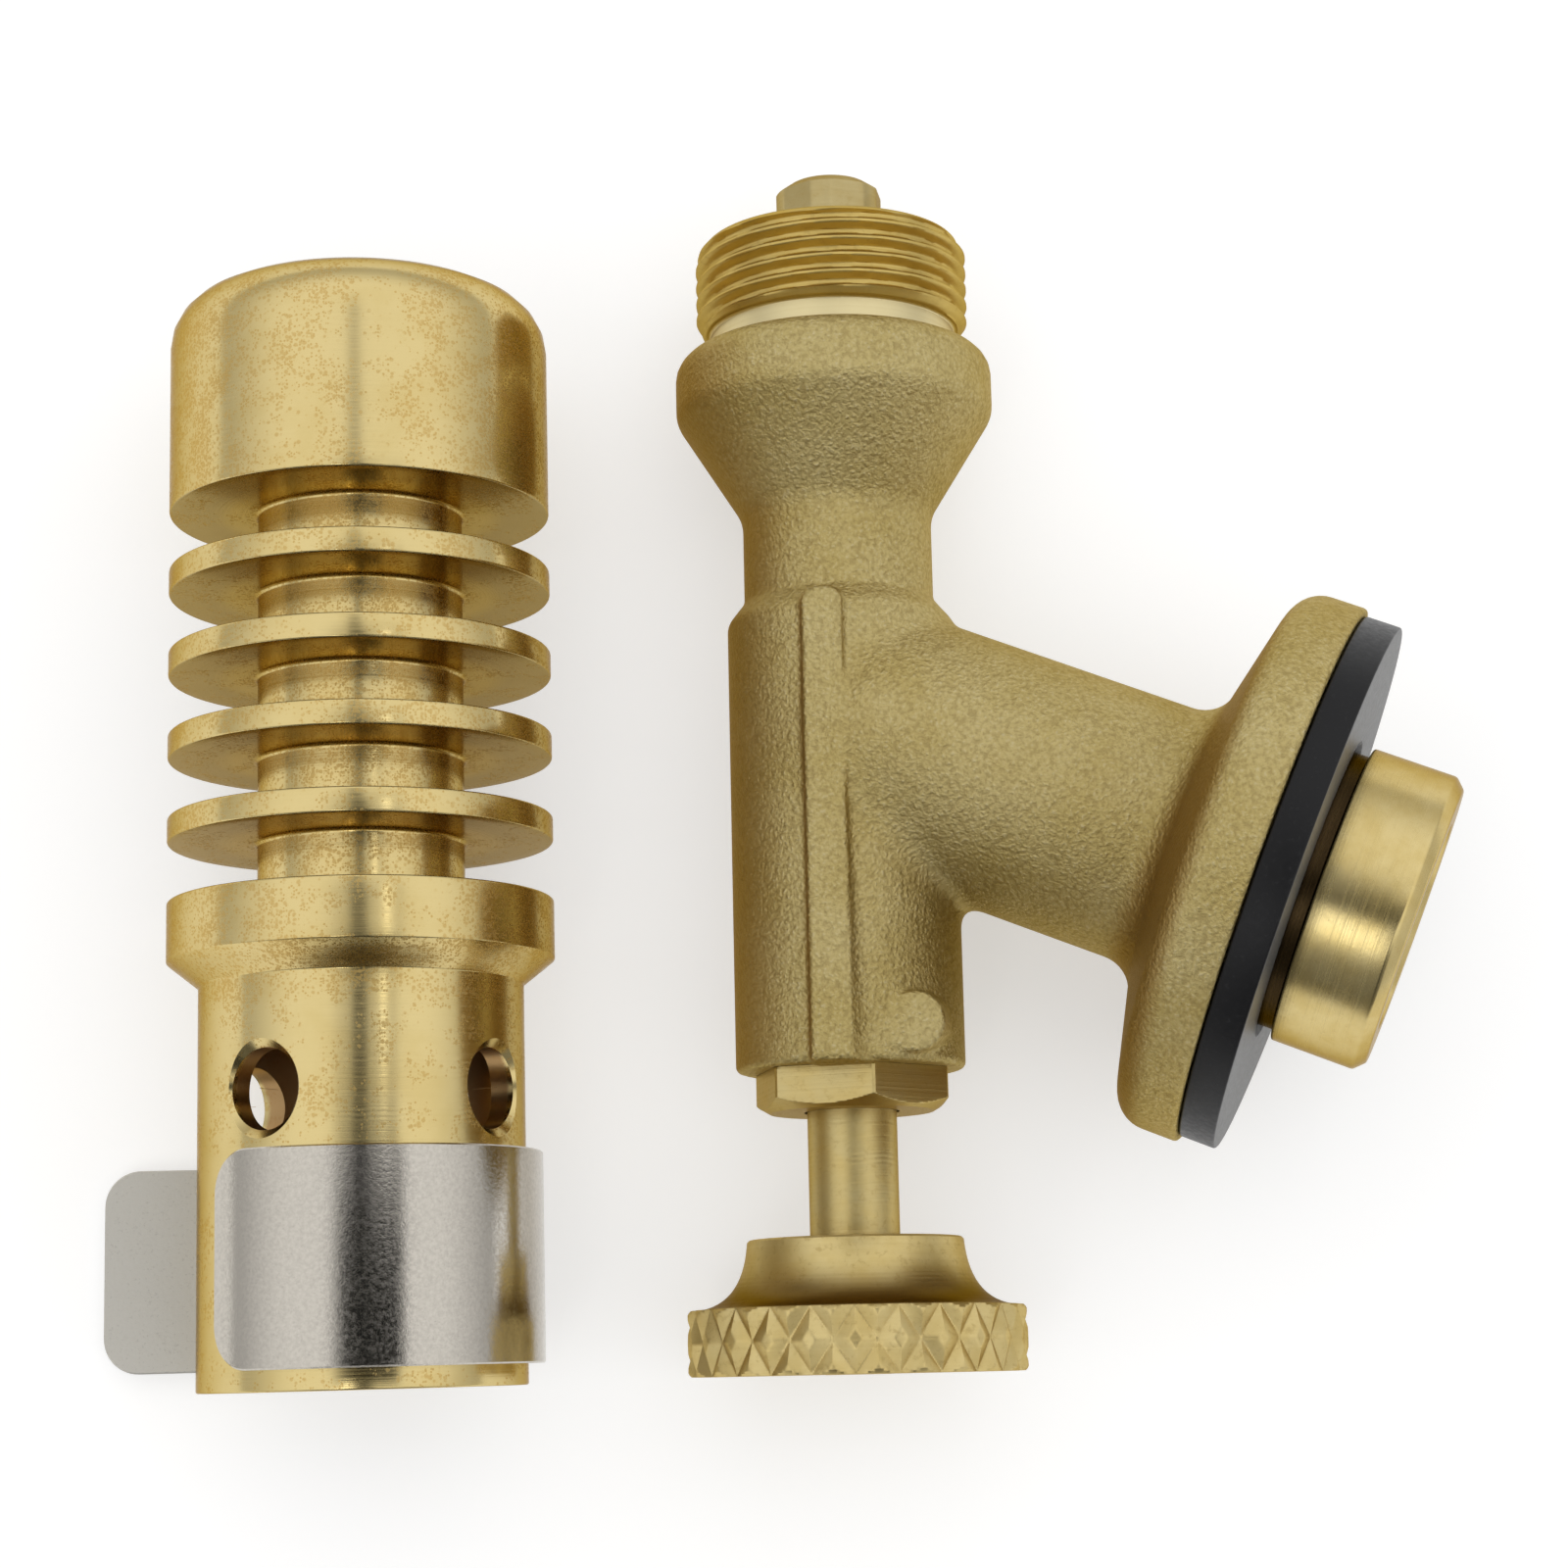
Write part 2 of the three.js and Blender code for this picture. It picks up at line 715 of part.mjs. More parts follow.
// Hexagon nut with a chamfered outer end and a plain shank
function makeBonnetNut() {
  const cornerRadius = nutFlats / 2 / Math.cos(turn(30));
  const points = [];
  for (let i = 0; i < 6; i += 1) {
    const angle = turn(60 * i);
    points.push(new THREE.Vector2(cornerRadius * Math.cos(angle), cornerRadius * Math.sin(angle)));
  }
  const head = nutHeight - seatGap;
  const hexagon = new THREE.ExtrudeGeometry(new THREE.Shape(points), { depth: head, bevelEnabled: false });
  const rimRadius = cornerRadius + overrun;
  const ringRadius = nutFlats / 2 - edgeChamfer;
  const drop = (rimRadius - ringRadius) * Math.tan(turn(nutChamferAngle));
  const rim = turned([
    [0, -nutHeight],
    [ringRadius, -nutHeight],
    [rimRadius, -nutHeight + drop],
    [rimRadius, 0],
    [0, 0],
  ]);
  const turnedHexagon = hexagon.rotateZ(turn(nutCornerTurn)).translate(0, 0, -nutHeight);
  const shank = collar(0, bonnetBoreRadius - slideGap, -nutHeight / 2, nutShankLength);
  const bore = collar(0, stemRadius + slideGap, -nutHeight - overrun, nutShankLength + overrun);
  const nut = toSolid(turnedHexagon).intersect(toSolid(rim)).add(toSolid(shank)).subtract(toSolid(bore));
  return piece('bonnet_nut', nut, turnedBrass);
}

// Knurled drum: crossing V grooves cut at equal slopes, one full diamond high
function knurledDrum() {
  const half = 180 / knurlCount;
  const low = -knobFace;
  const high = low + knurlLength;
  const middle = (low + high) / 2;
  const valley = knurlRadius - knurlDepth;
  const positions = [];
  const index = [];
  const add = (radius, angle, height) => {
    positions.push(radius * Math.cos(turn(angle)), radius * Math.sin(turn(angle)), height);
    return positions.length / 3 - 1;
  };
  const wide = half * knurlFlatShare;
  const tall = knurlLength / 2 * knurlFlatShare;
  const quad = (a, b, c, d) => index.push(a, b, c, a, c, d);
  const cells = [];
  for (let i = 0; i < knurlCount; i += 1) {
    const angle = 2 * half * i;
    cells.push({
      cross: add(valley, angle, middle),
      top: add(valley, angle + half, high),
      bottom: add(valley, angle + half, low),
      flatLeft: add(knurlRadius, angle + half - wide, middle),
      flatRight: add(knurlRadius, angle + half + wide, middle),
      flatTop: add(knurlRadius, angle + half, middle + tall),
      flatBottom: add(knurlRadius, angle + half, middle - tall),
      upLeft: add(knurlRadius, angle - wide, high),
      upRight: add(knurlRadius, angle + wide, high),
      upPoint: add(knurlRadius, angle, high - tall),
      lowLeft: add(knurlRadius, angle - wide, low),
      lowRight: add(knurlRadius, angle + wide, low),
      lowPoint: add(knurlRadius, angle, low + tall),
    });
  }
  const topCentre = add(0, 0, high);
  const bottomCentre = add(0, 0, low);
  cells.forEach((cell, i) => {
    const next = cells[(i + 1) % knurlCount];
    const last = cells[(i + knurlCount - 1) % knurlCount];
    quad(cell.flatLeft, cell.flatBottom, cell.flatRight, cell.flatTop);
    quad(cell.cross, cell.bottom, cell.flatBottom, cell.flatLeft);
    quad(cell.bottom, next.cross, cell.flatRight, cell.flatBottom);
    quad(next.cross, cell.top, cell.flatTop, cell.flatRight);
    quad(cell.top, cell.cross, cell.flatLeft, cell.flatTop);
    index.push(cell.upLeft, cell.upPoint, cell.upRight);
    quad(cell.cross, cell.top, cell.upRight, cell.upPoint);
    quad(last.top, cell.cross, cell.upPoint, cell.upLeft);
    index.push(cell.lowLeft, cell.lowRight, cell.lowPoint);
    quad(cell.bottom, cell.cross, cell.lowPoint, cell.lowRight);
    quad(cell.cross, last.bottom, cell.lowLeft, cell.lowPoint);
    index.push(topCentre, last.top, cell.upLeft, topCentre, cell.upLeft, cell.upRight);
    index.push(topCentre, cell.upRight, cell.top);
    index.push(bottomCentre, cell.lowLeft, last.bottom, bottomCentre, cell.lowRight, cell.lowLeft);
    index.push(bottomCentre, cell.bottom, cell.lowRight);
  });
  const geometry = new THREE.BufferGeometry();
  geometry.setAttribute('position', new THREE.Float32BufferAttribute(positions, 3));
  geometry.setIndex(index);
  return geometry;
}

// Knob: knurled rim with chamfered edges, hollow flare up to the disc that the stem meets
function makeKnob() {
  const face = -knobFace;
  const rim = knurlRadius - knurlDepth / 2;
  const blank = turned([
    [0, face],
    [rim - knurlChamfer, face],
    [knurlRadius + overrun, face + knurlChamfer + overrun],
    [knurlRadius + overrun, -knurlPlace - knurlChamfer - overrun],
    [rim - knurlChamfer, -knurlPlace],
    [0, -knurlPlace],
  ]);
  const start = new THREE.Vector2(flareRadius, -knurlPlace - knurlChamfer / 2);
  const bend = new THREE.Vector2(knobDiscRadius + edgeChamfer, -knurlPlace + knurlChamfer);
  const end = new THREE.Vector2(knobDiscRadius, -knobDiscPlace);
  const flare = new THREE.QuadraticBezierCurve(start, bend, end).getPoints(2 * arcSteps);
  const corners = flare.map((point) => [point.x, point.y]);
  const hub = turned([[0, start.y], ...corners, [0, -knobDiscPlace]]);
  const bore = turned([
    [0, face - overrun],
    [knobSpigotRadius + seatGap, face - overrun],
    [knobSpigotRadius + seatGap, -knobDiscPlace - knobSeatDepth],
    [stemRadius + seatGap, -knobDiscPlace - knobSeatDepth],
    [stemRadius + seatGap, -knobDiscPlace + overrun],
    [0, -knobDiscPlace + overrun],
  ], smallSides);
  const rimmed = toSolid(knurledDrum()).intersect(toSolid(blank.rotateZ(turn(knurlOffset))));
  const knob = rimmed.add(toSolid(hub)).subtract(toSolid(bore));
  return piece('knob', knob, turnedBrass);
}

// Rubber washer held on the waist by the larger spigot, with its hole chamfered to pass over it
function makeFlangeWasher() {
  const low = flangePlace + seatGap;
  const high = low + washerThickness;
  const holeRadius = waistRadius + washerPlay;
  const ring = turned([
    [holeRadius, low],
    [washerRadius, low],
    [washerRadius, high],
    [holeRadius + edgeChamfer, high],
    [holeRadius, high - edgeChamfer],
  ], largeSides);
  return piece('flange_washer', toSolid(ring), rubber);
}

function makeInletRing() {
  const height = socketFloor + seatGap + inletRingSection;
  const ring = sealRing(inletRingRadius, inletRingSection, height);
  return piece('inlet_o_ring', toSolid(ring), rubber);
}

// Pin that opens the cartridge's valve, its hub slotted for the gas
function makeInletPin() {
  const hubTop = socketFloor - seatGap;
  const hub = turned([
    [0, hubTop - pinHubLength],
    [inletBoreRadius - slideGap, hubTop - pinHubLength],
    [inletBoreRadius - slideGap, hubTop],
    [pinRadius, hubTop],
    [pinRadius, hubTop + pinReach - pinHubTail, pinRadius / 2],
    [0, hubTop + pinReach - pinHubTail],
  ], smallSides);
  const slot = () => new THREE.BoxGeometry(inletBoreRadius, pinSlotWidth, pinHubLength + 2 * overrun)
    .translate(inletBoreRadius - slideGap, 0, hubTop - pinHubLength / 2);
  return piece('inlet_pin', toSolid(hub).subtract(repeatedRound(slot, pinSlotCount, 0)), turnedBrass);
}

function makeInletFilter() {
  const low = inletBoreFloor + seatGap;
  const disc = collar(0, inletBoreRadius - seatGap, low, low + gauzeThickness, ringSides);
  return piece('inlet_filter', toSolid(disc), steel);
}

// Burner lying on its fins, its axis level
function layBurner() {
  const burner = new THREE.Group();
  burner.add(makeBurnerTube(), makeFlameHolder(), makeAirClip());
  burner.rotation.x = turn(-90);
  burner.position.z = barRadius;
  burner.position.x = -layApart;
  return burner;
}

// Valve resting on three rims: knurled knob, bulb and flange
function layValve() {
  const arm = new THREE.Group();
  arm.add(makeFlangeWasher(), makeInletRing(), makeInletPin(), makeInletFilter());
  arm.applyMatrix4(armFrame());
  const valve = new THREE.Group();
  valve.add(makeValveBody(), makeJet(), makeJetWasher(), makeJetFilter(), makeSpindle(), makeSeatPad());
  valve.add(makeSpindleRing(), makePackingWasher(), makeStemPacking(), makeBonnetNut(), makeKnob(), arm);

  const knobRest = -knurlPlace - knurlChamfer;
  const bulbRest = bulbTop - bulbRound;
  const pitch = Math.atan((bulbRadius - knurlRadius) / (bulbRest - knobRest));
  const axisHeight = knurlRadius * Math.cos(pitch) - knobRest * Math.sin(pitch);
  const above = axisHeight + armHeight * Math.sin(pitch) - flangeRound;
  const rimRadius = flangeRadius - flangeRound;
  const reach = Math.hypot(rimPlace, rimRadius);
  const rise = (rimRadius * Math.sqrt(reach ** 2 - above ** 2) - rimPlace * above) / reach ** 2;
  const droop = turn(armDroop);
  const lean = (rise + Math.sin(droop) * Math.sin(pitch)) / (Math.cos(droop) * Math.cos(pitch));
  valve.rotation.z = -Math.asin(lean);
  const laid = new THREE.Group();
  laid.add(valve);
  laid.rotation.x = turn(-90) + pitch;
  laid.position.z = axisHeight;
  const place = new THREE.Group();
  place.add(laid);
  place.rotation.z = turn(valveYaw);
  place.position.y = valveAhead + knobFace;
  place.position.z = -new THREE.Box3().setFromObject(place, true).min.z;
  return place;
}

const blowLamp = new THREE.Group();
blowLamp.add(layBurner(), layValve());
blowLamp.updateMatrixWorld(true);
const extent = new THREE.Box3().setFromObject(blowLamp, true);
const middle = extent.getCenter(new THREE.Vector3());
blowLamp.position.set(-middle.x, -middle.y, -extent.min.z);

export default blowLamp;
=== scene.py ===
import json
import math

import bpy
import numpy as np
from mathutils import Matrix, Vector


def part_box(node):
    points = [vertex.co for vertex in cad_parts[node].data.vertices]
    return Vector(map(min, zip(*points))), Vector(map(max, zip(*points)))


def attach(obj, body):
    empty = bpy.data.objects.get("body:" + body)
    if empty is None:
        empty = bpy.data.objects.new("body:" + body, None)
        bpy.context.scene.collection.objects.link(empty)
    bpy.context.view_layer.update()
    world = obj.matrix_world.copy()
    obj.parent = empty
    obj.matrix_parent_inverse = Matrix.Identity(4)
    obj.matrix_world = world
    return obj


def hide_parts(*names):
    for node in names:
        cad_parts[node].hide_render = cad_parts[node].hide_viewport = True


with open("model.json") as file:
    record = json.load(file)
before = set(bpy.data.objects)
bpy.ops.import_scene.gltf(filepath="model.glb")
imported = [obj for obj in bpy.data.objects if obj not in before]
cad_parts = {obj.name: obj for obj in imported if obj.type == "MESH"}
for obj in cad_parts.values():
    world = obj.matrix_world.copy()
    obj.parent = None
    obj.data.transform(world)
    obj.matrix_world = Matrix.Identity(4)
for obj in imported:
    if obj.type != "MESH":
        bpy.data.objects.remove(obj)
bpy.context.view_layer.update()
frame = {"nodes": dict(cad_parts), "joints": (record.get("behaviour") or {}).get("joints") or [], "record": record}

MM = 0.001

# Sizes that the look shares with the solids
HEAD_THREAD_RADIUS = 8.0
THREAD_PITCH = 1.0
THREAD_DEPTH = 0.56
BAR_RADIUS = 10.72
TUBE_RADIUS = 8.97
TUBE_LENGTH = 21.95
COLLAR_START = 23.35
COLLAR_TOP = 26.65
FIN_COUNT = 4
FIN_THICKNESS = 1.4
FIN_PITCH = 4.73
NECK_RADIUS = 5.76
BURNER_LENGTH = 61.6
HEAD_ROUND = 3.1
MIXING_RADIUS = 3.6
CAVITY_RADIUS = 7.32
CAVITY_DEPTH = 6.65
CHAMBER_RADIUS = 7.42
AIR_HOLE_PLACE = 15.8
AIR_HOLE_TURN = 55.0
AIR_HOLE_RADIUS = 2.2
CLIP_THICKNESS = 0.5
CLIP_PLAY = 0.15
CLIP_WIDTH = 11.5
CLIP_PLACE = 1.15
CLIP_BULGE = 0.3
CLIP_WRAP = 232.0
CLIP_TAB = 14.9
CLIP_TAB_CORNER = 2.0
CLIP_END_CORNER = 2.3

TRUNK_RADIUS = 6.5
TRUNK_TOP = 25.9
SHOULDER_RISE = 1.3
TRUNK_BORES = ((4.0, 6.6), (3.5, 13.0), (2.95, 23.2))
VALVE_NECK_RADIUS = 5.49
BULB_CONE_START = 32.3
BULB_CONE_END = 38.4
BULB_RADIUS = 9.28
BULB_TOP = 42.1
RELIEF_RADIUS = 7.15
THREAD_START = 43.55
HEAD_TOP = 48.8
JET_TOP = 52.7
JET_RADIUS = 3.17
JET_RECESS = 1.4
RIB_WIDTH = 2.3
RIB_PROUD = 0.65
RIB_TOP = 26.6
RIB_ROUND = 0.9
PAD_RADIUS = 1.7
PAD_PROUD = 0.85
PAD_SIDE = 4.4
PAD_HEIGHT = 2.1
ARM_RADIUS = 7.45
ARM_HEIGHT = 20.1
FLANGE_RADIUS = 15.77
FLANGE_PLACE = 26.2
FLANGE_LAND = 2.05
FLANGE_ROUND = 1.9
FLANGE_CONE = 14.5
WAIST_RADIUS = 8.05
WASHER_RADIUS = 15.38
WASHER_PLAY = 0.4
WASHER_TOP = 28.3
SPIGOT_RADIUS = 8.6
SPIGOT_START = 29.1
SPIGOT_END = 34.45
SPIGOT_CHAMFER = 0.6
SOCKET_FLOOR = 25.05
SOCKET_RADIUS = 5.55
INLET_RADIUS = 2.1
INLET_FLOOR = 17.05
PASSAGE_RADIUS = 1.4
STEM_RADIUS = 2.53
NUT_FLATS = 9.9
NUT_HEIGHT = 2.33
NUT_TURN = 51
NUT_CHAMFER = 30
KNOB_FACE = 16.85
KNURL_RADIUS = 9.48
KNURL_TOP = 13.2
KNURL_COUNT = 24
KNURL_DEPTH = 0.38
KNURL_FLAT = 0.3
KNURL_CHAMFER = 0.2
KNOB_DISC = 9.4
KNOB_DISC_RADIUS = 6.08

# Outlines of the casting start on the far side of the axis, so that the axis counts as deep inside
PAST_AXIS = -20
# How much wider the casting is bored than the turned walls that line its bores
LINING = 0.2
# Widths over which the casting's forms flow into the trunk
ARM_BLEND = 0.9
ARM_BLEND_UNDER = 0.5
RIB_BLEND = 0.45
PAD_BLEND = 0.35
# Height on the knob's flare where its dark tone, painted shade next to the knurl with some tarnish, has faded out
KNOB_SHADED = 10.5
# Angle in degrees from which an edge shows as sharp
SHARP = 35
# Height of a UV map for each millimetre along an outline
UV_SCALE = 0.01

# Studio, in metres: the tent's brightness at the table and overhead, the table's own colour and its lift
# towards white, and the heights of the photographer's shade and lamps
TENT_RADIUS = 2.0
TENT_LOW = 0.58
TENT_HIGH = 1.12
TABLE_COLOUR = 0.64
TABLE_LIFT = 0.47
SHADE_HEIGHT = 0.19
LAMP_HEIGHT = 0.187


def unit(values):
    vector = np.array(values, float)
    return vector / np.linalg.norm(vector)


def frame_of(x_axis, y_axis, z_axis, origin):
    matrix = np.eye(4)
    matrix[:3, 0] = x_axis
    matrix[:3, 1] = y_axis
    matrix[:3, 2] = z_axis
    matrix[:3, 3] = origin
    return matrix


# Frames of the three turned bodies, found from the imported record
record = frame["record"]
joints = {joint["name"]: joint for joint in frame["joints"]}
mounts = {mount["name"]: mount for mount in record["mounts"]}
knob_joint = joints["knob_turn"]
valve_z = -unit(knob_joint["axis"])
arm_z = unit(mounts["cartridge_seal_face"]["axis"])
DROOP = math.asin(-float(valve_z @ arm_z))
valve_x = unit(arm_z + math.sin(DROOP) * valve_z)
valve_y = np.cross(valve_z, valve_x)
valve_foot = np.array(knob_joint["pos_m"]) / MM + KNOB_FACE * valve_z
VALVE = frame_of(valve_x, valve_y, valve_z, valve_foot)
ARM = frame_of(np.cross(valve_y, arm_z), valve_y, arm_z, valve_foot + ARM_HEIGHT * valve_z)
tube_low, tube_high = (np.array(corner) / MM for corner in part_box("burner_tube"))
tube_middle = (tube_low + tube_high) / 2
BURNER = frame_of((1, 0, 0), (0, 0, -1), (0, 1, 0), (tube_middle[0], tube_low[1], tube_middle[2]))

CAMERA_FOOT = np.array([tube_middle[0] + 5.24, tube_low[1] + 0.60, 185.98])


# Closed outline through corners [x, y, radius], with an arc at each corner that has a radius
def outline(corners, steps=5):
    points = []
    count = len(corners)
    for i, corner in enumerate(corners):
        here = np.array(corner[:2], float)
        radius = corner[2] if len(corner) > 2 else 0
        if not radius:
            points.append(here)
            continue
        before = unit(np.array(corners[i - 1][:2]) - here)
        after = unit(np.array(corners[(i + 1) % count][:2]) - here)
        half = math.acos(max(-1, min(1, float(before @ after)))) / 2
        centre = here + unit(before + after) * radius / math.sin(half)
        first = here + before * radius / math.tan(half) - centre
        last = here + after * radius / math.tan(half) - centre
        sweep = math.atan2(first[0] * last[1] - first[1] * last[0], float(first @ last))
        for step in range(steps + 1):
            angle = sweep * step / steps
            turn = np.array([[math.cos(angle), -math.sin(angle)], [math.sin(angle), math.cos(angle)]])
            points.append(turn @ first + centre)
    return np.array(points)


# Extra points along long straight stretches, so that shapes and shading have something to work on
def finer(points, step):
    result = []
    for start, end in zip(points, np.roll(points, -1, axis=0)):
        parts = max(1, math.ceil(np.linalg.norm(end - start) / step))
        result += [start + (end - start) * k / parts for k in range(parts)]
    return np.array(result)


# Blender object from points in millimetres in one of the frames
def make(name, points, faces, place, body, material, nodes=(), uv=None, sharp=SHARP):
    world = (np.asarray(points) @ place[:3, :3].T + place[:3, 3]) * MM
    mesh = bpy.data.meshes.new(name)
    mesh.from_pydata(world.tolist(), [], [list(map(int, face)) for face in faces])
    mesh.validate()
    if uv is not None:
        layer = mesh.uv_layers.new(name="UVMap")
        layer.data.foreach_set("uv", np.asarray(uv, np.float32).ravel())
    mesh.polygons.foreach_set("use_smooth", [True] * len(mesh.polygons))
    mesh.set_sharp_from_angle(angle=math.radians(sharp))
    obj = bpy.data.objects.new(name, mesh)
    bpy.context.scene.collection.objects.link(obj)
    mesh.materials.append(material)
    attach(obj, body)
    if nodes:
        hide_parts(*nodes)
    return obj


# Ring of points round +Z for each outline point [radius, height]; shape may change the radii
def revolve(points, sides, shape=None):
    angles = np.arange(sides) * 2 * math.pi / sides
    radius = np.repeat(points[:, :1], sides, axis=1)
    height = np.repeat(points[:, 1:2], sides, axis=1)
    around = np.repeat(angles[None, :], len(points), axis=0)
    if shape:
        radius, height = shape(around, radius, height)
    verts = np.stack([radius * np.cos(around), radius * np.sin(around), height], axis=-1)
    rows = len(points)
    i, k = np.meshgrid(np.arange(rows), np.arange(sides), indexing="ij")
    after, beside = (i + 1) % rows, (k + 1) % sides
    faces = np.stack([i * sides + k, i * sides + beside, after * sides + beside, after * sides + k], axis=-1)
    lengths = np.linalg.norm(np.diff(points, axis=0, append=points[:1]), axis=1)
    along = np.concatenate([[0], np.cumsum(lengths)])
    u = np.stack([k, k + 1, k + 1, k], axis=-1) / sides
    v = np.stack([along[i], along[i], along[i + 1], along[i + 1]], axis=-1) * UV_SCALE
    uv = np.stack([u, v], axis=-1).reshape(-1, 2)
    return verts.reshape(-1, 3), faces.reshape(-1, 4), uv


# Turned piece: a closed outline of [radius, height, rounding] corners, listed anticlockwise
def turned(name, corners, place, body, material, nodes=(), sides=192, step=1.0, shape=None,
           sharp=SHARP):
    points = finer(outline(corners), step)
    verts, faces, uv = revolve(points, sides, shape)
    return make(name, verts, faces, place, body, material, nodes, uv, sharp)


# Material in the making, with short calls for the nodes that the looks are built from
class Tree:
    def __init__(self, name):
        self.material = bpy.data.materials.new(name)
        self.material.use_nodes = True
        self.tree = self.material.node_tree
        self.shader = self.tree.nodes["Principled BSDF"]
        self.coordinates = self.tree.nodes.new("ShaderNodeTexCoord")

    def link(self, source, target):
        self.tree.links.new(source, target)

    def node(self, kind, **values):
        node = self.tree.nodes.new(kind)
        for key, value in values.items():
            if key in node.inputs:
                node.inputs[key].default_value = value
            else:
                setattr(node, key.lower(), value)
        return node

    def mapping(self, source, scale):
        node = self.node("ShaderNodeMapping", Scale=scale)
        self.link(self.coordinates.outputs[source], node.inputs["Vector"])
        return node.outputs[0]

    # Place in the object's frame, in millimetres
    def in_mm(self):
        return self.mapping("Object", (1 / MM,) * 3)

    def parts(self, vector):
        node = self.node("ShaderNodeSeparateXYZ")
        self.link(vector, node.inputs[0])
        return node.outputs["X"], node.outputs["Y"], node.outputs["Z"]

    def dot(self, vector, direction):
        node = self.node("ShaderNodeVectorMath", operation="DOT_PRODUCT")
        self.link(vector, node.inputs[0])
        node.inputs[1].default_value = tuple(direction)
        return node.outputs["Value"]

    # How far the surface turns towards a direction
    def facing(self, direction):
        return self.dot(self.coordinates.outputs["Normal"], direction)

    def noise(self, vector, scale, detail=2.0, roughness=0.5, distortion=0.0):
        node = self.node("ShaderNodeTexNoise", Scale=scale, Detail=detail, Roughness=roughness)
        node.inputs["Distortion"].default_value = distortion
        self.link(vector, node.inputs["Vector"])
        return node.outputs["Fac"]

    # Cells of uneven shape: the distance from each cell's middle, and a number by chance for each cell
    def cells(self, vector, scale, feature="F1"):
        node = self.node("ShaderNodeTexVoronoi", Scale=scale)
        node.feature = feature
        self.link(vector, node.inputs["Vector"])
        split = self.node("ShaderNodeSeparateColor")
        self.link(node.outputs["Color"], split.inputs[0])
        return node.outputs["Distance"], split.outputs[0]

    def math(self, operation, first, second=None, clamp=False):
        node = self.node("ShaderNodeMath", operation=operation)
        node.use_clamp = clamp
        for index, value in enumerate((first, second)):
            if value is None:
                continue
            if isinstance(value, (int, float)):
                node.inputs[index].default_value = value
            else:
                self.link(value, node.inputs[index])
        return node.outputs[0]

    def times(self, first, second):
        return self.math("MULTIPLY", first, second)

    # Smooth step of a value between two limits, which may run downwards
    def ramp(self, value, low, high, start=0.0, end=1.0):
        node = self.node("ShaderNodeMapRange")
        node.interpolation_type = "SMOOTHSTEP"
        self.link(value, node.inputs["Value"])
        for key, number in (("From Min", low), ("From Max", high), ("To Min", start), ("To Max", end)):
            node.inputs[key].default_value = number
        return node.outputs[0]

    def mix(self, factor, first, second):
        node = self.node("ShaderNodeMix", data_type="RGBA")
        for key, value in (("Factor", factor), ("A", first), ("B", second)):
            socket = [s for s in node.inputs if s.name == key and s.enabled][0]
            if isinstance(value, (tuple, list)):
                socket.default_value = (*value, 1.0)
            elif isinstance(value, (int, float)):
                socket.default_value = value
            else:
                self.link(value, socket)
        return [s for s in node.outputs if s.enabled][0]

    def bump(self, height, strength, distance, normal=None):
        node = self.node("ShaderNodeBump", Strength=strength, Distance=distance)
        self.link(height, node.inputs["Height"])
        if normal is not None:
            self.link(normal, node.inputs["Normal"])
        return node.outputs[0]

    # Shader of its own kind in place of the usual one
    def output(self, source):
        self.link(source, self.tree.nodes["Material Output"].inputs["Surface"])
        self.tree.nodes.remove(self.shader)

    def set(self, **values):
        for key, value in values.items():
            socket = self.shader.inputs[key.replace("_", " ")]
            if isinstance(value, tuple):
                socket.default_value = (*value, 1.0)
            elif isinstance(value, (int, float)):
                socket.default_value = value
            else:
                self.link(value, socket)
        return self.material


BRASS = (0.66, 0.53, 0.245)
BRASS_DULL = (0.57, 0.43, 0.16)
BRASS_EDGE = (0.56, 0.45, 0.29)
BRASS_FACE = (0.42, 0.37, 0.25)
STAIN = (0.52, 0.33, 0.09)
GLAZE = (0.58, 0.4, 0.13)
SOOT = (0.4, 0.22, 0.1)


# Rings left by the lathe: they follow each outline, so they run unbroken round the axis
def ring_marks(t):
    return t.noise(t.mapping("UV", (0.0, 1 / UV_SCALE, 0.0)), 7.0, 3.0, 0.65)


# Place of a point about the burner's axis in millimetres: across it, out from it and along it
def burner_place(t):
    x, y, z = t.parts(t.in_mm())
    across = t.math("SUBTRACT", x, tube_middle[0])
    rise = t.math("SUBTRACT", z, tube_middle[2])
    radius = t.math("SQRT", t.math("ADD", t.times(across, across), t.times(rise, rise)))
    along = t.math("SUBTRACT", y, tube_low[1])
    return across, radius, along


# Share of heat stain on the burner: the necks, the flanks of every rim, and the tube under the collar. On the
# flanks, the sides that face left and right as the burner lies, it is partly painted shade that darkens them
def stain_and_shade_share(t, across, radius, along, rim):
    # The flank term is painted shade as well as stain: it darkens the left and right sides more than the top and
    # bottom
    flank = t.times(t.ramp(t.math("ABSOLUTE", across), 3.0, 9.0, 0.2, 1.0), rim)
    neck = t.ramp(radius, 5.9, 7.2, 1.0, 0.0)
    heat_and_shade = t.times(t.math("MAXIMUM", flank, neck), t.ramp(along, 22.5, 23.5))
    under = t.times(t.ramp(along, 19.8, 21.4), t.ramp(along, 23.2, 23.7, 1.0, 0.0))
    return t.math("MAXIMUM", heat_and_shade, under)
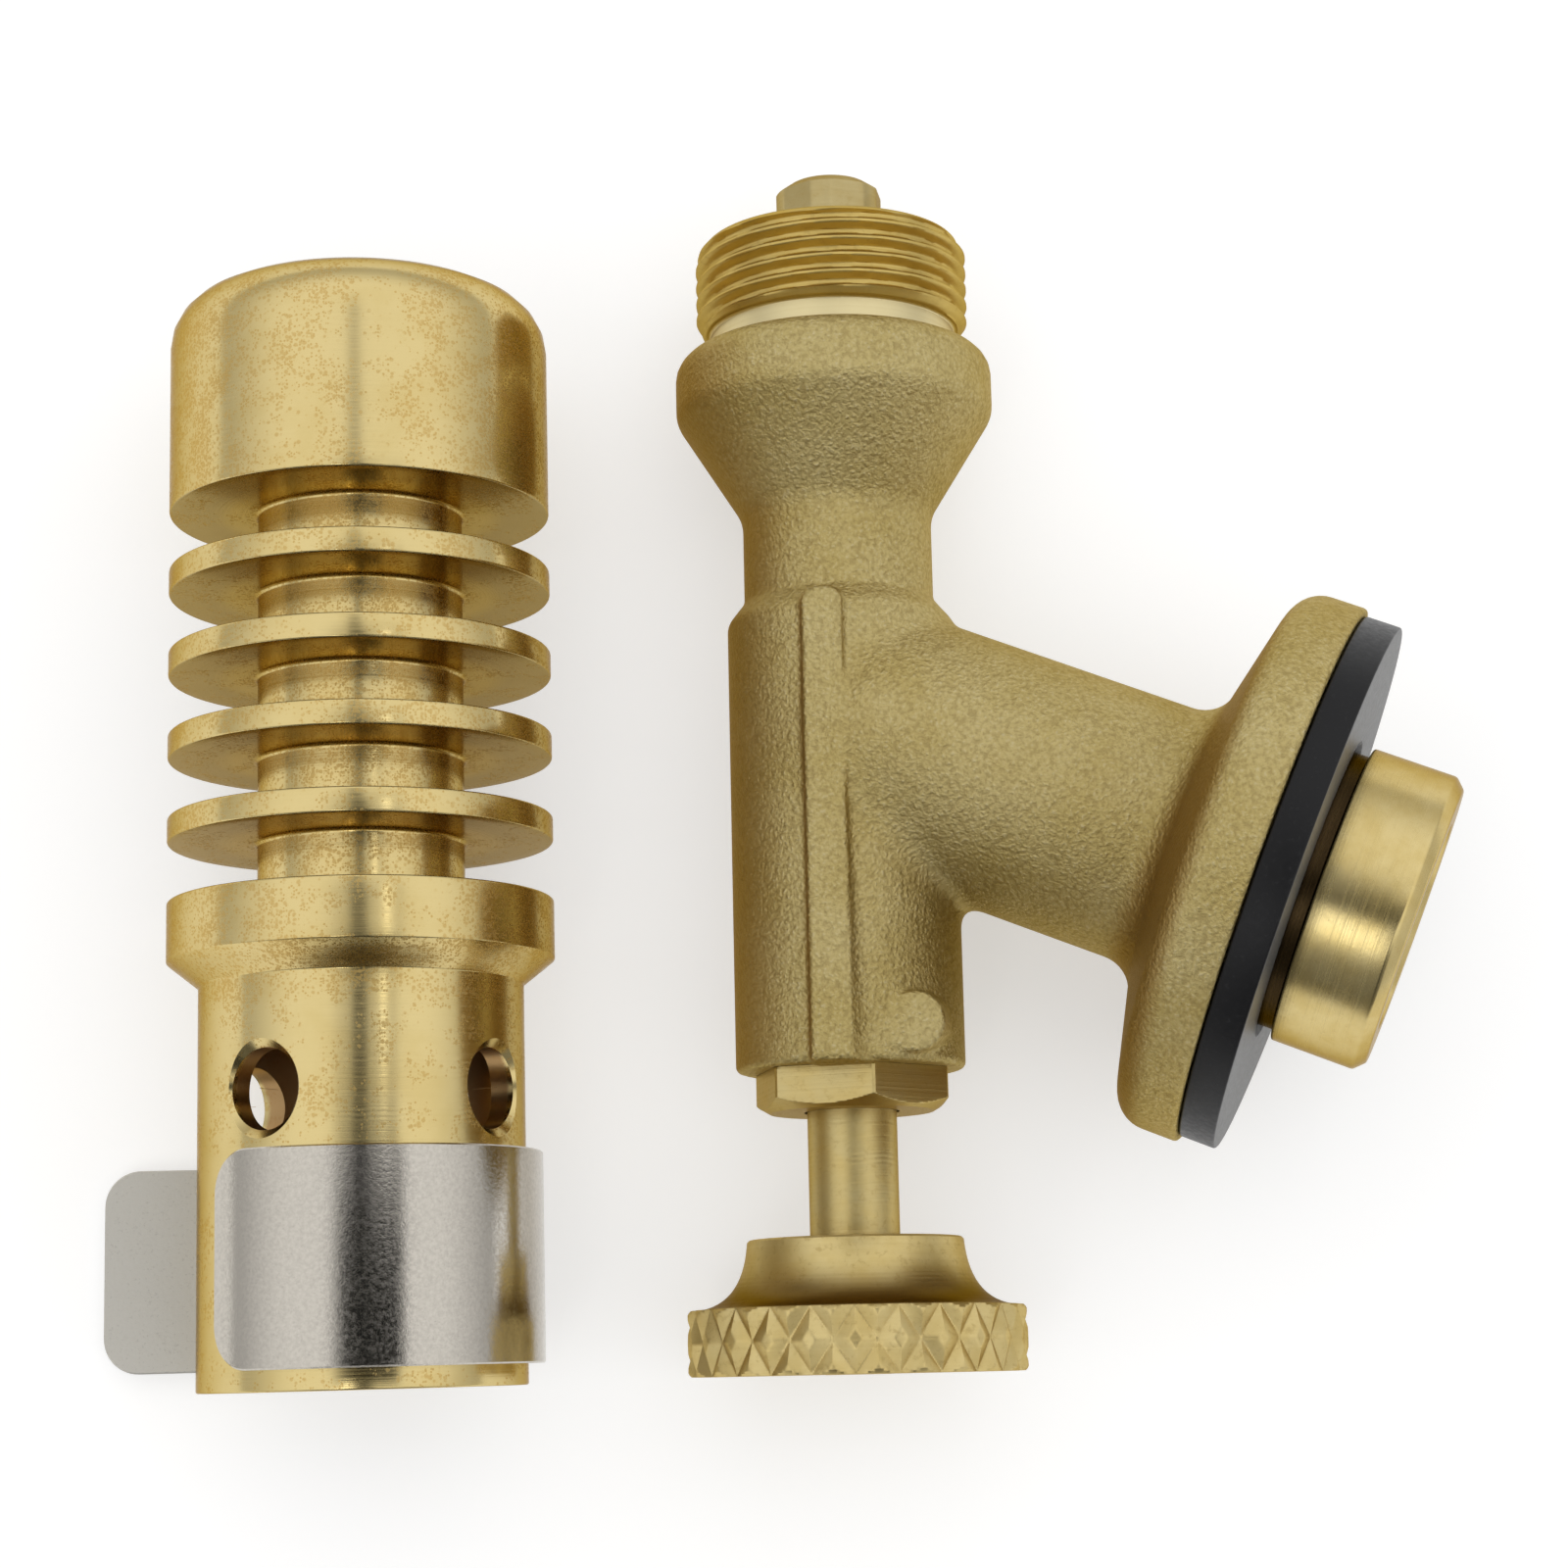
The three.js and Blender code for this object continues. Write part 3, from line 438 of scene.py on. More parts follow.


# Brass of the burner: greyer on the flat faces, with heat stain in clouds and specks that is partly painted shade
# on the flanks, and sooty inside
def burner_brass():
    t = Tree("burner_brass")
    across, radius, along = burner_place(t)
    wide = t.in_mm()
    rings = ring_marks(t)
    cloud = t.noise(wide, 0.35, 3.0, 0.55)
    base = t.mix(t.ramp(cloud, 0.35, 0.75, 0.0, 0.45), BRASS, BRASS_DULL)
    rim = t.ramp(t.math("ABSOLUTE", t.facing((0, 1, 0))), 0.75, 0.9, 1.0, 0.0)
    flat = t.times(t.math("SUBTRACT", 1.0, rim), t.ramp(radius, 6.8, 8.5, 0.0, 0.6))
    base = t.mix(flat, base, BRASS_FACE)
    patches = t.noise(wide, 0.45, 3.0, 0.65)
    share = stain_and_shade_share(t, across, radius, along, rim)
    glaze = t.times(share, t.ramp(patches, 0.4, 0.65, 0.05, 0.35))
    base = t.mix(glaze, base, GLAZE)
    density = t.math("ADD", t.times(share, 0.33), t.ramp(patches, 0.4, 0.68, 0.0, 0.6))
    mask = 0.0
    for scale, strength in ((4.2, 0.8), (7.5, 1.0)):
        distance, chance = t.cells(wide, scale)
        dots = t.times(t.ramp(t.math("SUBTRACT", density, chance), 0.0, 0.15), strength)
        mask = t.math("MAXIMUM", mask, t.times(dots, t.ramp(distance, 0.35, 0.65, 1.0, 0.0)))
    base = t.mix(t.times(mask, 0.65), base, STAIN)
    in_tube = t.times(t.ramp(radius, 8.3, 8.7, 1.0, 0.0), t.ramp(along, 22.2, 22.6, 1.0, 0.0))
    in_head = t.times(t.ramp(radius, 7.3, 7.8, 1.0, 0.0), t.ramp(along, 52.5, 53.5))
    inside = t.math("MAXIMUM", in_tube, in_head)
    base = t.mix(t.times(inside, 0.75), base, SOOT)
    roughness = t.ramp(rings, 0.3, 0.7, 0.14, 0.23)
    roughness = t.math("ADD", roughness, t.times(t.math("MAXIMUM", mask, inside), 0.15))
    normal = t.bump(rings, 0.3, 0.00001)
    return t.set(Base_Color=base, Metallic=1.0, Roughness=roughness, Specular_Tint=BRASS_EDGE, Normal=normal)


# Brass of the valve's turned pieces: satin, with rings and a few handling marks. A band has its own
# colour between two heights over a frame's origin, and fades out above them
def turned_brass(name, rough=0.3, ring=0.35, light=BRASS, dull=BRASS_DULL, marks=0.5, band=None):
    t = Tree(name)
    wide = t.in_mm()
    rings = ring_marks(t)
    cloud = t.noise(wide, 0.5, 3.0, 0.6)
    spots = t.noise(wide, 2.2, 5.0, 0.7, 0.4)
    worn = t.times(t.ramp(spots, 0.52, 0.68), marks)
    base = t.mix(t.ramp(cloud, 0.3, 0.7, 0.0, 0.7), light, dull)
    base = t.mix(t.times(worn, 0.5), base, (0.4, 0.28, 0.09))
    if band:
        place, colour, low, fade, high = band
        above = t.math("SUBTRACT", t.dot(wide, place[:3, 2]), float(place[:3, 2] @ place[:3, 3]))
        share = t.times(t.ramp(above, low - 0.2, low), t.ramp(above, fade, high, 1.0, 0.0))
        base = t.mix(share, base, colour)
    roughness = t.ramp(rings, 0.3, 0.7, rough * 0.85, rough * 1.15)
    roughness = t.math("ADD", roughness, t.times(worn, 0.12))
    normal = t.bump(rings, ring, 0.000015)
    normal = t.bump(spots, 0.2, 0.00002, normal)
    return t.set(Base_Color=base, Metallic=1.0, Roughness=roughness, Specular_Tint=BRASS_EDGE, Normal=normal)


# Cast brass, blasted to an even fine grain, and brown on its left flank as painted reflection and shade of the
# burner beside it
def cast_brass():
    t = Tree("cast_brass")
    wide = t.in_mm()
    fine = t.noise(wide, 7.0, 3.0, 0.6)
    pebble, _ = t.cells(wide, 4.0, "SMOOTH_F1")
    grain = t.math("ADD", t.times(fine, 0.5), t.times(t.math("SUBTRACT", 1.0, pebble), 0.45))
    swell = t.noise(wide, 1.3, 2.0, 0.5)
    cloud = t.noise(wide, 0.17, 3.0, 0.6)
    base = t.mix(t.ramp(cloud, 0.3, 0.7), (0.58, 0.475, 0.215), (0.51, 0.4, 0.15))
    base = t.mix(t.ramp(grain, 0.36, 0.56, 0.4, 0.0), base, (0.27, 0.19, 0.07))
    base = t.mix(t.ramp(grain, 0.54, 0.7, 0.0, 0.35), base, (0.7, 0.63, 0.42))
    # Painted reflection and shade: the flank that faces the burner turns brown, standing in for the burner's dark
    # brass reflected in it
    base = t.mix(t.ramp(t.facing(-valve_x), 0.3, 0.9, 0.0, 0.75), base, (0.33, 0.2, 0.06))
    normal = t.bump(grain, 1.0, 0.00017)
    normal = t.bump(swell, 0.15, 0.00009, normal)
    return t.set(Base_Color=base, Metallic=1.0, Roughness=0.47, Specular_Tint=BRASS_EDGE, Normal=normal)


# Spring steel, mottled by its rolled skin, and duller on the thumb tab
def spring_steel():
    t = Tree("spring_steel")
    across, _, _ = burner_place(t)
    wide = t.in_mm()
    mottle = t.noise(wide, 4.5, 4.0, 0.7)
    pits = t.noise(wide, 6.0, 3.0, 0.6)
    tab = t.ramp(across, -8.6, -9.6)
    base = t.mix(t.ramp(mottle, 0.3, 0.7), (0.55, 0.515, 0.455), (0.47, 0.44, 0.39))
    base = t.mix(tab, base, (0.6, 0.58, 0.53))
    base = t.mix(t.ramp(pits, 0.58, 0.7, 0.0, 0.3), base, (0.34, 0.32, 0.29))
    roughness = t.math("ADD", t.ramp(mottle, 0.35, 0.65, 0.1, 0.2), t.times(tab, 0.3))
    normal = t.bump(mottle, 0.3, 0.000022)
    return t.set(Base_Color=base, Metallic=1.0, Roughness=roughness, Normal=normal)


# Black rubber; a face across the given direction is painted grey, partly as dust and partly as a painted sheen of
# its grazing reflection
def black_rubber(name, face=None):
    t = Tree(name)
    wide = t.in_mm()
    dust = t.noise(wide, 3.0, 4.0, 0.7)
    base = t.mix(t.ramp(dust, 0.55, 0.75, 0.0, 0.4), (0.006, 0.006, 0.007), (0.03, 0.03, 0.031))
    if face is not None:
        # Dust and painted sheen: the face is lightened partly for its dust and partly to stand in for its shiny
        # grazing reflection
        dust_and_sheen = t.times(t.ramp(t.facing(face), 0.85, 0.97), t.ramp(dust, 0.35, 0.6, 0.6, 1.0))
        base = t.mix(dust_and_sheen, base, (0.1, 0.1, 0.099))
    normal = t.bump(dust, 0.3, 0.00003)
    roughness = t.ramp(dust, 0.3, 0.7, 0.34, 0.46)
    return t.set(Base_Color=base, Roughness=roughness, Specular_IOR_Level=0.25, Normal=normal)


# Even material with a soft grain, for what lies deep in the bores
def plain(name, colour, rough, metallic=0.0, scale=1.5):
    t = Tree(name)
    grain = t.noise(t.in_mm(), scale, 3.0, 0.6)
    darker = tuple(value * 0.75 for value in colour)
    base = t.mix(t.ramp(grain, 0.3, 0.7), colour, darker)
    normal = t.bump(grain, 0.3, 0.00003)
    return t.set(Base_Color=base, Metallic=metallic, Roughness=rough, Normal=normal)


BURNER_BRASS = burner_brass()
BRIGHT_BRASS = turned_brass("bright_brass", rough=0.25, ring=0.15, marks=0.2)
SATIN_BRASS = turned_brass("satin_brass", rough=0.36, ring=1.0, light=(0.56, 0.45, 0.205), marks=0.6)
JET_BRASS = turned_brass("jet_brass", rough=0.36, ring=0.8, light=(0.48, 0.39, 0.19), dull=(0.42, 0.32, 0.13))
THREAD_BRASS = turned_brass("thread_brass", rough=0.38, light=(0.6, 0.45, 0.15), dull=(0.55, 0.4, 0.12),
                            band=(VALVE, (0.7, 0.6, 0.34), BULB_TOP, THREAD_START - 0.1, THREAD_START))
# Painted shade: the spigot's band darkens the waist groove between the washer and the spigot, partly as dirt held
# there and partly as the groove's shade
SPIGOT_BRASS = turned_brass("spigot_brass", rough=0.25, ring=0.15, marks=0.2,
                            band=(ARM, (0.11, 0.07, 0.03), FLANGE_PLACE, SPIGOT_START - 0.05, SPIGOT_START))
# Painted shade: the knob's band darkens its flare next to the knurl, with some tarnish, and fades out up the flare
KNOB_BRASS = turned_brass("knob_brass", rough=0.4, ring=0.2, marks=0.7,
                          band=(VALVE, (0.2, 0.12, 0.03), -KNURL_TOP + 0.1, -KNURL_TOP + 0.1, -KNOB_SHADED))
CAST = cast_brass()
STEEL = spring_steel()
RUBBER = black_rubber("black_rubber")
WASHER_RUBBER = black_rubber("washer_rubber", arm_z)
COPPER = plain("copper", (0.72, 0.33, 0.17), 0.3, 1.0)
PACKING = plain("white_packing", (0.8, 0.79, 0.75), 0.5)
BRONZE = plain("sintered_bronze", (0.4, 0.28, 0.12), 0.6, 1.0, 6.0)
GAUZE = plain("steel_gauze", (0.5, 0.49, 0.47), 0.35, 1.0, 6.0)


# Screw thread round +Z between two heights: the radius follows a rounded V, chamfered at both ends
def thread_shape(crest, depth, low, high, rows, inward=False):
    crest_share, flank_share, rounding = 0.07, 0.3, 0.35
    chamfer_length, chamfer_slope = 0.55, 0.9

    def shape(around, radius, height):
        turns = height / THREAD_PITCH - around / (2 * math.pi)
        apart = np.abs(turns - np.round(turns))
        groove = np.clip((apart - crest_share) / flank_share, 0, 1)
        groove = groove * groove * (3 - 2 * groove) * rounding + groove * (1 - rounding)
        chamfer = np.maximum(0, chamfer_length - np.minimum(height - low, high - height)) * chamfer_slope
        drop = np.maximum(depth * groove, chamfer)
        cut = crest + drop if inward else crest - drop
        return np.where(rows(radius, height), cut, radius), height

    return shape


# Burner: bar with fins, its bores, and four countersunk air holes
def burner_corners():
    edge, root = 0.14, 0.25
    thread_end, thread_bore, mouth = 8, 8.1, 8.4
    corners = [(TUBE_RADIUS, 0, 0.12), (TUBE_RADIUS, TUBE_LENGTH, 0.15)]
    corners += [(BAR_RADIUS, COLLAR_START, edge), (BAR_RADIUS, COLLAR_TOP, edge)]
    corners += [(NECK_RADIUS, COLLAR_TOP, root)]
    for i in range(FIN_COUNT):
        start = COLLAR_TOP + FIN_PITCH * (i + 1) - FIN_THICKNESS
        corners += [(NECK_RADIUS, start, root), (BAR_RADIUS, start, edge)]
        corners += [(BAR_RADIUS, start + FIN_THICKNESS, edge), (NECK_RADIUS, start + FIN_THICKNESS, root)]
    head = COLLAR_TOP + FIN_PITCH * (FIN_COUNT + 1) - FIN_THICKNESS
    corners += [(NECK_RADIUS, head, root), (BAR_RADIUS, head, edge), (BAR_RADIUS, BURNER_LENGTH, HEAD_ROUND)]
    ledge, floor, funnel = CAVITY_RADIUS - 1, head + 2.6, TUBE_LENGTH + 2.3
    corners += [(CAVITY_RADIUS, BURNER_LENGTH, 0.1), (CAVITY_RADIUS, BURNER_LENGTH - CAVITY_DEPTH)]
    corners += [(ledge, BURNER_LENGTH - CAVITY_DEPTH), (ledge, floor), (MIXING_RADIUS, floor)]
    corners += [(MIXING_RADIUS, funnel), (CHAMBER_RADIUS, TUBE_LENGTH), (CHAMBER_RADIUS, thread_end)]
    corners += [(thread_bore, thread_end), (thread_bore, mouth - thread_bore), (mouth, 0)]
    return corners


# Cutter for one air hole with its countersink
def air_hole_cutter(index):
    centre, wide, low, high = 0.01, AIR_HOLE_RADIUS + 0.5, CHAMBER_RADIUS - 1, TUBE_RADIUS + 1
    corners = [(centre, low), (AIR_HOLE_RADIUS, low), (AIR_HOLE_RADIUS, TUBE_RADIUS - 0.45)]
    corners += [(wide, TUBE_RADIUS + 0.05), (wide, high), (centre, high)]
    verts, faces, _ = revolve(outline(corners), 72)
    angle = math.radians(AIR_HOLE_TURN - 90 + 90 * index)
    outward = np.array([math.cos(angle), math.sin(angle), 0])
    aside = np.array([-math.sin(angle), math.cos(angle), 0])
    place = BURNER @ frame_of(aside, (0, 0, 1), outward, (0, 0, AIR_HOLE_PLACE))
    world = (verts @ place[:3, :3].T + place[:3, 3]) * MM
    mesh = bpy.data.meshes.new("cutter")
    mesh.from_pydata(world.tolist(), [], faces.tolist())
    return bpy.data.objects.new("cutter", mesh)


# Takes the cutters out of a piece for good
def cut_away(obj, cutters):
    for cutter in cutters:
        bpy.context.scene.collection.objects.link(cutter)
        modifier = obj.modifiers.new("cut", "BOOLEAN")
        modifier.operation = "DIFFERENCE"
        modifier.solver = "EXACT"
        modifier.object = cutter
    graph = bpy.context.evaluated_depsgraph_get()
    mesh = bpy.data.meshes.new_from_object(obj.evaluated_get(graph))
    obj.modifiers.clear()
    obj.data = mesh
    for cutter in cutters:
        bpy.data.objects.remove(cutter)
    mesh.set_sharp_from_angle(angle=math.radians(SHARP))


# Burner in one piece, and the thread in its socket as a second one
def make_burner():
    tube = turned("burner_bar", burner_corners(), BURNER, "burner", BURNER_BRASS,
                  ["burner_tube"], sides=216, step=0.8)
    cut_away(tube, [air_hole_cutter(i) for i in range(4)])
    crest, inner, back, low, high = 7.47, 7.5, 8.15, 0.25, 7.9
    corners = [(inner, low), (back, low), (back, high), (inner, high)]

    def rows(radius, height):
        return radius < inner + 0.1

    turned("burner_thread", corners, BURNER, "burner", BRIGHT_BRASS, sides=144, step=0.1,
           shape=thread_shape(crest, THREAD_DEPTH - 0.01, low, high, rows, inward=True))


# Air clip: middle line and outward direction of the strip at a length along it
def clip_path(place, radius):
    if place < CLIP_TAB:
        return np.array([place - CLIP_TAB, radius]), np.array([0.0, 1.0])
    angle = math.pi / 2 - (place - CLIP_TAB) / radius
    outward = np.array([math.cos(angle), math.sin(angle)])
    return outward * (radius + CLIP_BULGE * max(0.0, math.cos(angle)) ** 2), outward


# Half the strip's width near one of its ends, where the corners are rounded
def half_width(gap, corner):
    inside = max(0.0, corner - gap)
    return CLIP_WIDTH / 2 - corner + math.sqrt(max(0.0, corner ** 2 - inside ** 2))


# Section of the strip as [offset, height], with its edges broken
def clip_section(half):
    steps, edge, t = 24, 0.09, CLIP_THICKNESS / 2
    climb = np.linspace(edge - half, half - edge, steps)[1:-1]
    section = [(-t, edge - half), (edge - t, -half), (t - edge, -half), (t, edge - half)]
    section += [(t, height) for height in climb]
    section += [(t, half - edge), (t - edge, half), (edge - t, half), (-t, half - edge)]
    return section + [(-t, -height) for height in climb]


# Strip swept along its middle line, closed by a face at each end
def make_clip():
    end_steps, middle_steps = 14, 220
    radius = TUBE_RADIUS + CLIP_PLAY + CLIP_THICKNESS / 2
    total = CLIP_TAB + math.radians(CLIP_WRAP) * radius
    ease = 1 - np.cos(np.linspace(0, math.pi / 2, end_steps))
    along = np.concatenate([
        CLIP_TAB_CORNER * ease,
        np.linspace(CLIP_TAB_CORNER, total - CLIP_END_CORNER, middle_steps)[1:-1],
        (total - CLIP_END_CORNER * ease)[::-1],
    ])
    middle = CLIP_PLACE + CLIP_WIDTH / 2
    rows = []
    for place in along:
        spot, outward = clip_path(place, radius)
        half = min(half_width(place, CLIP_TAB_CORNER), half_width(total - place, CLIP_END_CORNER))
        rows.append([(*(spot + outward * offset), middle + height) for offset, height in clip_section(half)])
    rows = np.array(rows)
    count = rows.shape[1]
    faces = []
    for i in range(len(rows) - 1):
        for k in range(count):
            here, beside = i * count + k, i * count + (k + 1) % count
            faces.append((here, beside, beside + count, here + count))
    faces.append(list(range(count))[::-1])
    faces.append(list(range((len(rows) - 1) * count, len(rows) * count)))
    make("clip_strip", rows.reshape(-1, 3), faces, BURNER, "air_clip", STEEL, ["air_clip"])


# Signed distance from points [radius, height] to a closed outline, negative inside
def outline_distance(points, r, z):
    best = np.full(r.shape, 1e9)
    inside = np.zeros(r.shape, bool)
    for (ax, ay), (bx, by) in zip(points, np.roll(points, -1, axis=0)):
        ex, ey = bx - ax, by - ay
        length = ex * ex + ey * ey
        if length < 1e-12:
            continue
        wx, wy = r - ax, z - ay
        share = np.clip((wx * ex + wy * ey) / length, 0, 1)
        best = np.minimum(best, (wx - share * ex) ** 2 + (wy - share * ey) ** 2)
        crosses = (ay > z) != (by > z)
        if abs(ey) > 1e-12:
            inside ^= crosses & (r < ax + ex * (z - ay) / ey)
    return np.where(inside, -1, 1) * np.sqrt(best)


# Smooth union of two distances
def joined(a, b, blend):
    share = np.maximum(blend - np.abs(a - b), 0) / blend
    return np.minimum(a, b) - share * share * blend / 4


# Distance to what two distances share, with the edge between them rounded
def crossed(a, b, edge):
    a, b = a + edge, b + edge
    return np.minimum(np.maximum(a, b), 0) + np.hypot(np.maximum(a, 0), np.maximum(b, 0)) - edge


# Outlines of the casting's two turned forms as [radius, height, rounding]
def trunk_outline():
    return outline([
        (PAST_AXIS, 0), (TRUNK_RADIUS, 0, 0.35), (TRUNK_RADIUS, TRUNK_TOP, 1.0),
        (VALVE_NECK_RADIUS, TRUNK_TOP + SHOULDER_RISE, 0.9), (VALVE_NECK_RADIUS, BULB_CONE_START, 2.6),
        (BULB_RADIUS, BULB_CONE_END, 1.6), (BULB_RADIUS, BULB_TOP, 1.4), (PAST_AXIS, BULB_TOP),
    ])


def arm_outline():
    slope = math.tan(math.radians(FLANGE_CONE))
    rim = FLANGE_PLACE - FLANGE_LAND - FLANGE_ROUND * math.tan(math.radians((90 - FLANGE_CONE) / 2))
    start, foot = -4, rim - slope * (FLANGE_RADIUS - ARM_RADIUS)
    return outline([
        (PAST_AXIS, start), (ARM_RADIUS, start, 7.3), (ARM_RADIUS, foot, 2.2),
        (FLANGE_RADIUS, rim, FLANGE_ROUND), (FLANGE_RADIUS, FLANGE_PLACE, 0.2), (PAST_AXIS, FLANGE_PLACE),
    ], steps=8)


TRUNK_OUTLINE = trunk_outline()
ARM_OUTLINE = arm_outline()


# Rib up the trunk, its right wall leaning out towards the foot
def rib_distance(x, y, z):
    flare_width, flare_height, edge = 0.75, 15.0, 0.2
    depth = np.clip((-y - TRUNK_RADIUS + 0.35) / (RIB_PROUD + 0.35), 0, 1)
    lean = flare_width * np.clip(1 - z / flare_height, 0, 1) * (1 - depth)
    side = np.where(x > 0, x - lean, -x) - RIB_WIDTH / 2 + RIB_ROUND
    up = z - RIB_TOP + RIB_ROUND
    flat = np.minimum(np.maximum(side, up), 0) + np.hypot(np.maximum(side, 0), np.maximum(up, 0)) - RIB_ROUND
    rib = crossed(flat, -y - TRUNK_RADIUS - RIB_PROUD, edge)
    return np.maximum(crossed(rib, -z, edge), y + 2)


# Round boss pad beside the rib's foot
def pad_distance(x, y, z):
    rim = np.hypot(x - PAD_SIDE, z - PAD_HEIGHT) - PAD_RADIUS
    face = -y - math.sqrt(TRUNK_RADIUS ** 2 - PAD_SIDE ** 2) - PAD_PROUD
    return np.maximum(crossed(rim, face, 0.25), y + 2)


# Distance to the casting at points in the valve's frame
def casting_distance(p):
    x, y, z = p[..., 0], p[..., 1], p[..., 2]
    r = np.hypot(x, y)
    trunk = outline_distance(TRUNK_OUTLINE, r, z)
    lift = z - ARM_HEIGHT
    arm_along = x * math.cos(DROOP) - lift * math.sin(DROOP)
    arm_across = -x * math.sin(DROOP) - lift * math.cos(DROOP)
    arm_r = np.hypot(arm_across, y)
    arm = outline_distance(ARM_OUTLINE, arm_r, arm_along)
    under = np.clip((arm_across + 2.5) / 8, 0, 1)
    body = joined(trunk, arm, ARM_BLEND + ARM_BLEND_UNDER * under)
    body = joined(body, rib_distance(x, y, z), RIB_BLEND)
    body = joined(body, pad_distance(x, y, z), PAD_BLEND)
    bores = [np.maximum(r - radius, np.abs(z) - reach) for radius, reach in TRUNK_BORES]
    bores.append(np.maximum(arm_r - INLET_RADIUS - LINING, INLET_FLOOR - arm_along))
    bores.append(np.maximum(arm_r - PASSAGE_RADIUS, -arm_along))
    bores.append(np.maximum(arm_r - SOCKET_RADIUS - LINING, SOCKET_FLOOR - LINING - arm_along))
    for bore in bores:
        body = np.maximum(body, -bore)
    return body


# Closed surface where a distance is 0: one point in each cell that it crosses, one face for each crossed edge
def surface_net(distance, low, high, cell):
    block, far, rounds = 12, 9.0, 3
    low, high = np.array(low), np.array(high)
    count = np.ceil((high - low) / cell).astype(int) + 1
    field = np.full(count + 1, far, np.float32)
    # A block of the grid is worked out in full only where the surface may pass through it
    reach = cell * block * 0.9 + 1.2
    for place in np.ndindex(*(-(-count // block))):
        start = np.array(place) * block
        end = np.minimum(start + block, count + 1)
        value = distance(low + (start + block / 2) * cell)
        if abs(value) < reach:
            axes = [np.arange(a, b) for a, b in zip(start, end)]
            value = distance(low + np.stack(np.meshgrid(*axes, indexing="ij"), axis=-1) * cell)
        field[tuple(map(slice, start, end))] = value
    inside = field < 0
    corners = [(a, b, c) for a in (0, 1) for b in (0, 1) for c in (0, 1)]
    shape = np.array(field.shape) - 1

    def shifted(by):
        return inside[by[0]:by[0] + shape[0], by[1]:by[1] + shape[1], by[2]:by[2] + shape[2]]

    total = sum(shifted(corner).astype(np.int8) for corner in corners)
    cells = np.argwhere((total > 0) & (total < 8))
    index = np.full(shape, -1, np.int64)
    index[tuple(cells.T)] = np.arange(len(cells))
    summed = np.zeros((len(cells), 3))
    crossings = np.zeros(len(cells))
    pairs = [(a, b) for a in corners for b in corners
             if sum(b) - sum(a) == 1 and sum(x != y for x, y in zip(a, b)) == 1]
    for a, b in pairs:
        va = field[tuple((cells + a).T)]
        vb = field[tuple((cells + b).T)]
        crossed = (va < 0) != (vb < 0)
        share = np.where(crossed, va / np.where(crossed, va - vb, 1), 0)
        summed += np.where(crossed[:, None], np.array(a) + share[:, None] * (np.array(b) - a), 0)
        crossings += crossed
    points = low + (cells + summed / crossings[:, None]) * cell
    for _ in range(rounds):
        value = distance(points)
        h = cell * 0.1
        slope = np.stack([distance(points + h * np.eye(3)[k]) - distance(points - h * np.eye(3)[k])
                          for k in range(3)], axis=-1) / (2 * h)
        size = np.maximum((slope ** 2).sum(-1), 0.25)
        step = -np.clip(value / size, -cell * 0.4, cell * 0.4)[:, None] * slope
        points = points + step
    faces = []
    first = inside[:-1, :-1, :-1]
    steps = np.eye(3, dtype=int)
    for axis, one, two in ((0, 1, 2), (1, 2, 0), (2, 0, 1)):
        edges = np.argwhere(first != shifted(steps[axis]))
        edges = edges[(edges[:, one] > 0) & (edges[:, two] > 0)]
        around = (0 * steps[one], steps[one], steps[one] + steps[two], steps[two])
        quad = np.stack([index[tuple((edges - step).T)] for step in around], axis=-1)
        outward = first[tuple(edges.T)]
        faces.append(np.where(outward[:, None], quad, quad[:, ::-1]))
    return points, np.concatenate(faces)


def make_casting():
    low, high, cell = (-11, -18, -5.6), (32, 18, 43), 0.2
    points, faces = surface_net(casting_distance, low, high, cell)
    make("valve_casting", points, faces, VALVE, "valve", CAST, ["valve_body"], sharp=60)


# Threaded head, relief groove and jet recess
def make_head():
    core, root, crest, back = 6.0, 7.4, 7.5, 41.2
    bore, recess, recess_mouth, recess_floor = 2.4, 3.6, 3.75, HEAD_TOP - JET_RECESS
    corners = [
        (core, back), (crest, back), (crest, BULB_TOP + 0.01, 0.1), (RELIEF_RADIUS, BULB_TOP + 0.02),
        (RELIEF_RADIUS, THREAD_START - 0.1, 0.1), (root - 0.1, THREAD_START), (root, THREAD_START),
        (root, HEAD_TOP), (root - 0.2, HEAD_TOP), (recess_mouth, HEAD_TOP, 0.12), (recess, recess_floor),
        (bore, recess_floor), (bore, back),
    ]

    def rows(radius, height):
        return (radius > root - 0.05) & (height >= THREAD_START)

    turned("valve_head", corners, VALVE, "valve", THREAD_BRASS, sides=216, step=0.07,
           shape=thread_shape(HEAD_THREAD_RADIUS, THREAD_DEPTH, THREAD_START, HEAD_TOP, rows), sharp=50)


# Jet, with six faint flats for its key
def make_jet():
    flats, outer = 3.0, JET_RADIUS - 0.4
    hole, throat, shank, foot = 0.35, 1.2, 2.55, 44.85

    def shape(around, radius, height):
        local = (around + math.pi / 6) % (math.pi / 3) - math.pi / 6
        return np.where(radius > outer, np.minimum(radius, flats / np.cos(local)), radius), height

    corners = [
        (hole, JET_TOP), (hole, JET_TOP - 1.2), (throat, JET_TOP - 1.4), (throat, foot), (shank, foot),
        (shank, HEAD_TOP - 0.55), (JET_RADIUS, HEAD_TOP - 0.5, 0.1), (JET_RADIUS, JET_TOP - 0.55, 0.1),
        (JET_RADIUS - 0.75, JET_TOP, 0.1),
    ]
    turned("jet", corners, VALVE, "valve", JET_BRASS, ["jet_nipple"], sides=180, step=0.6,
           shape=shape, sharp=20)


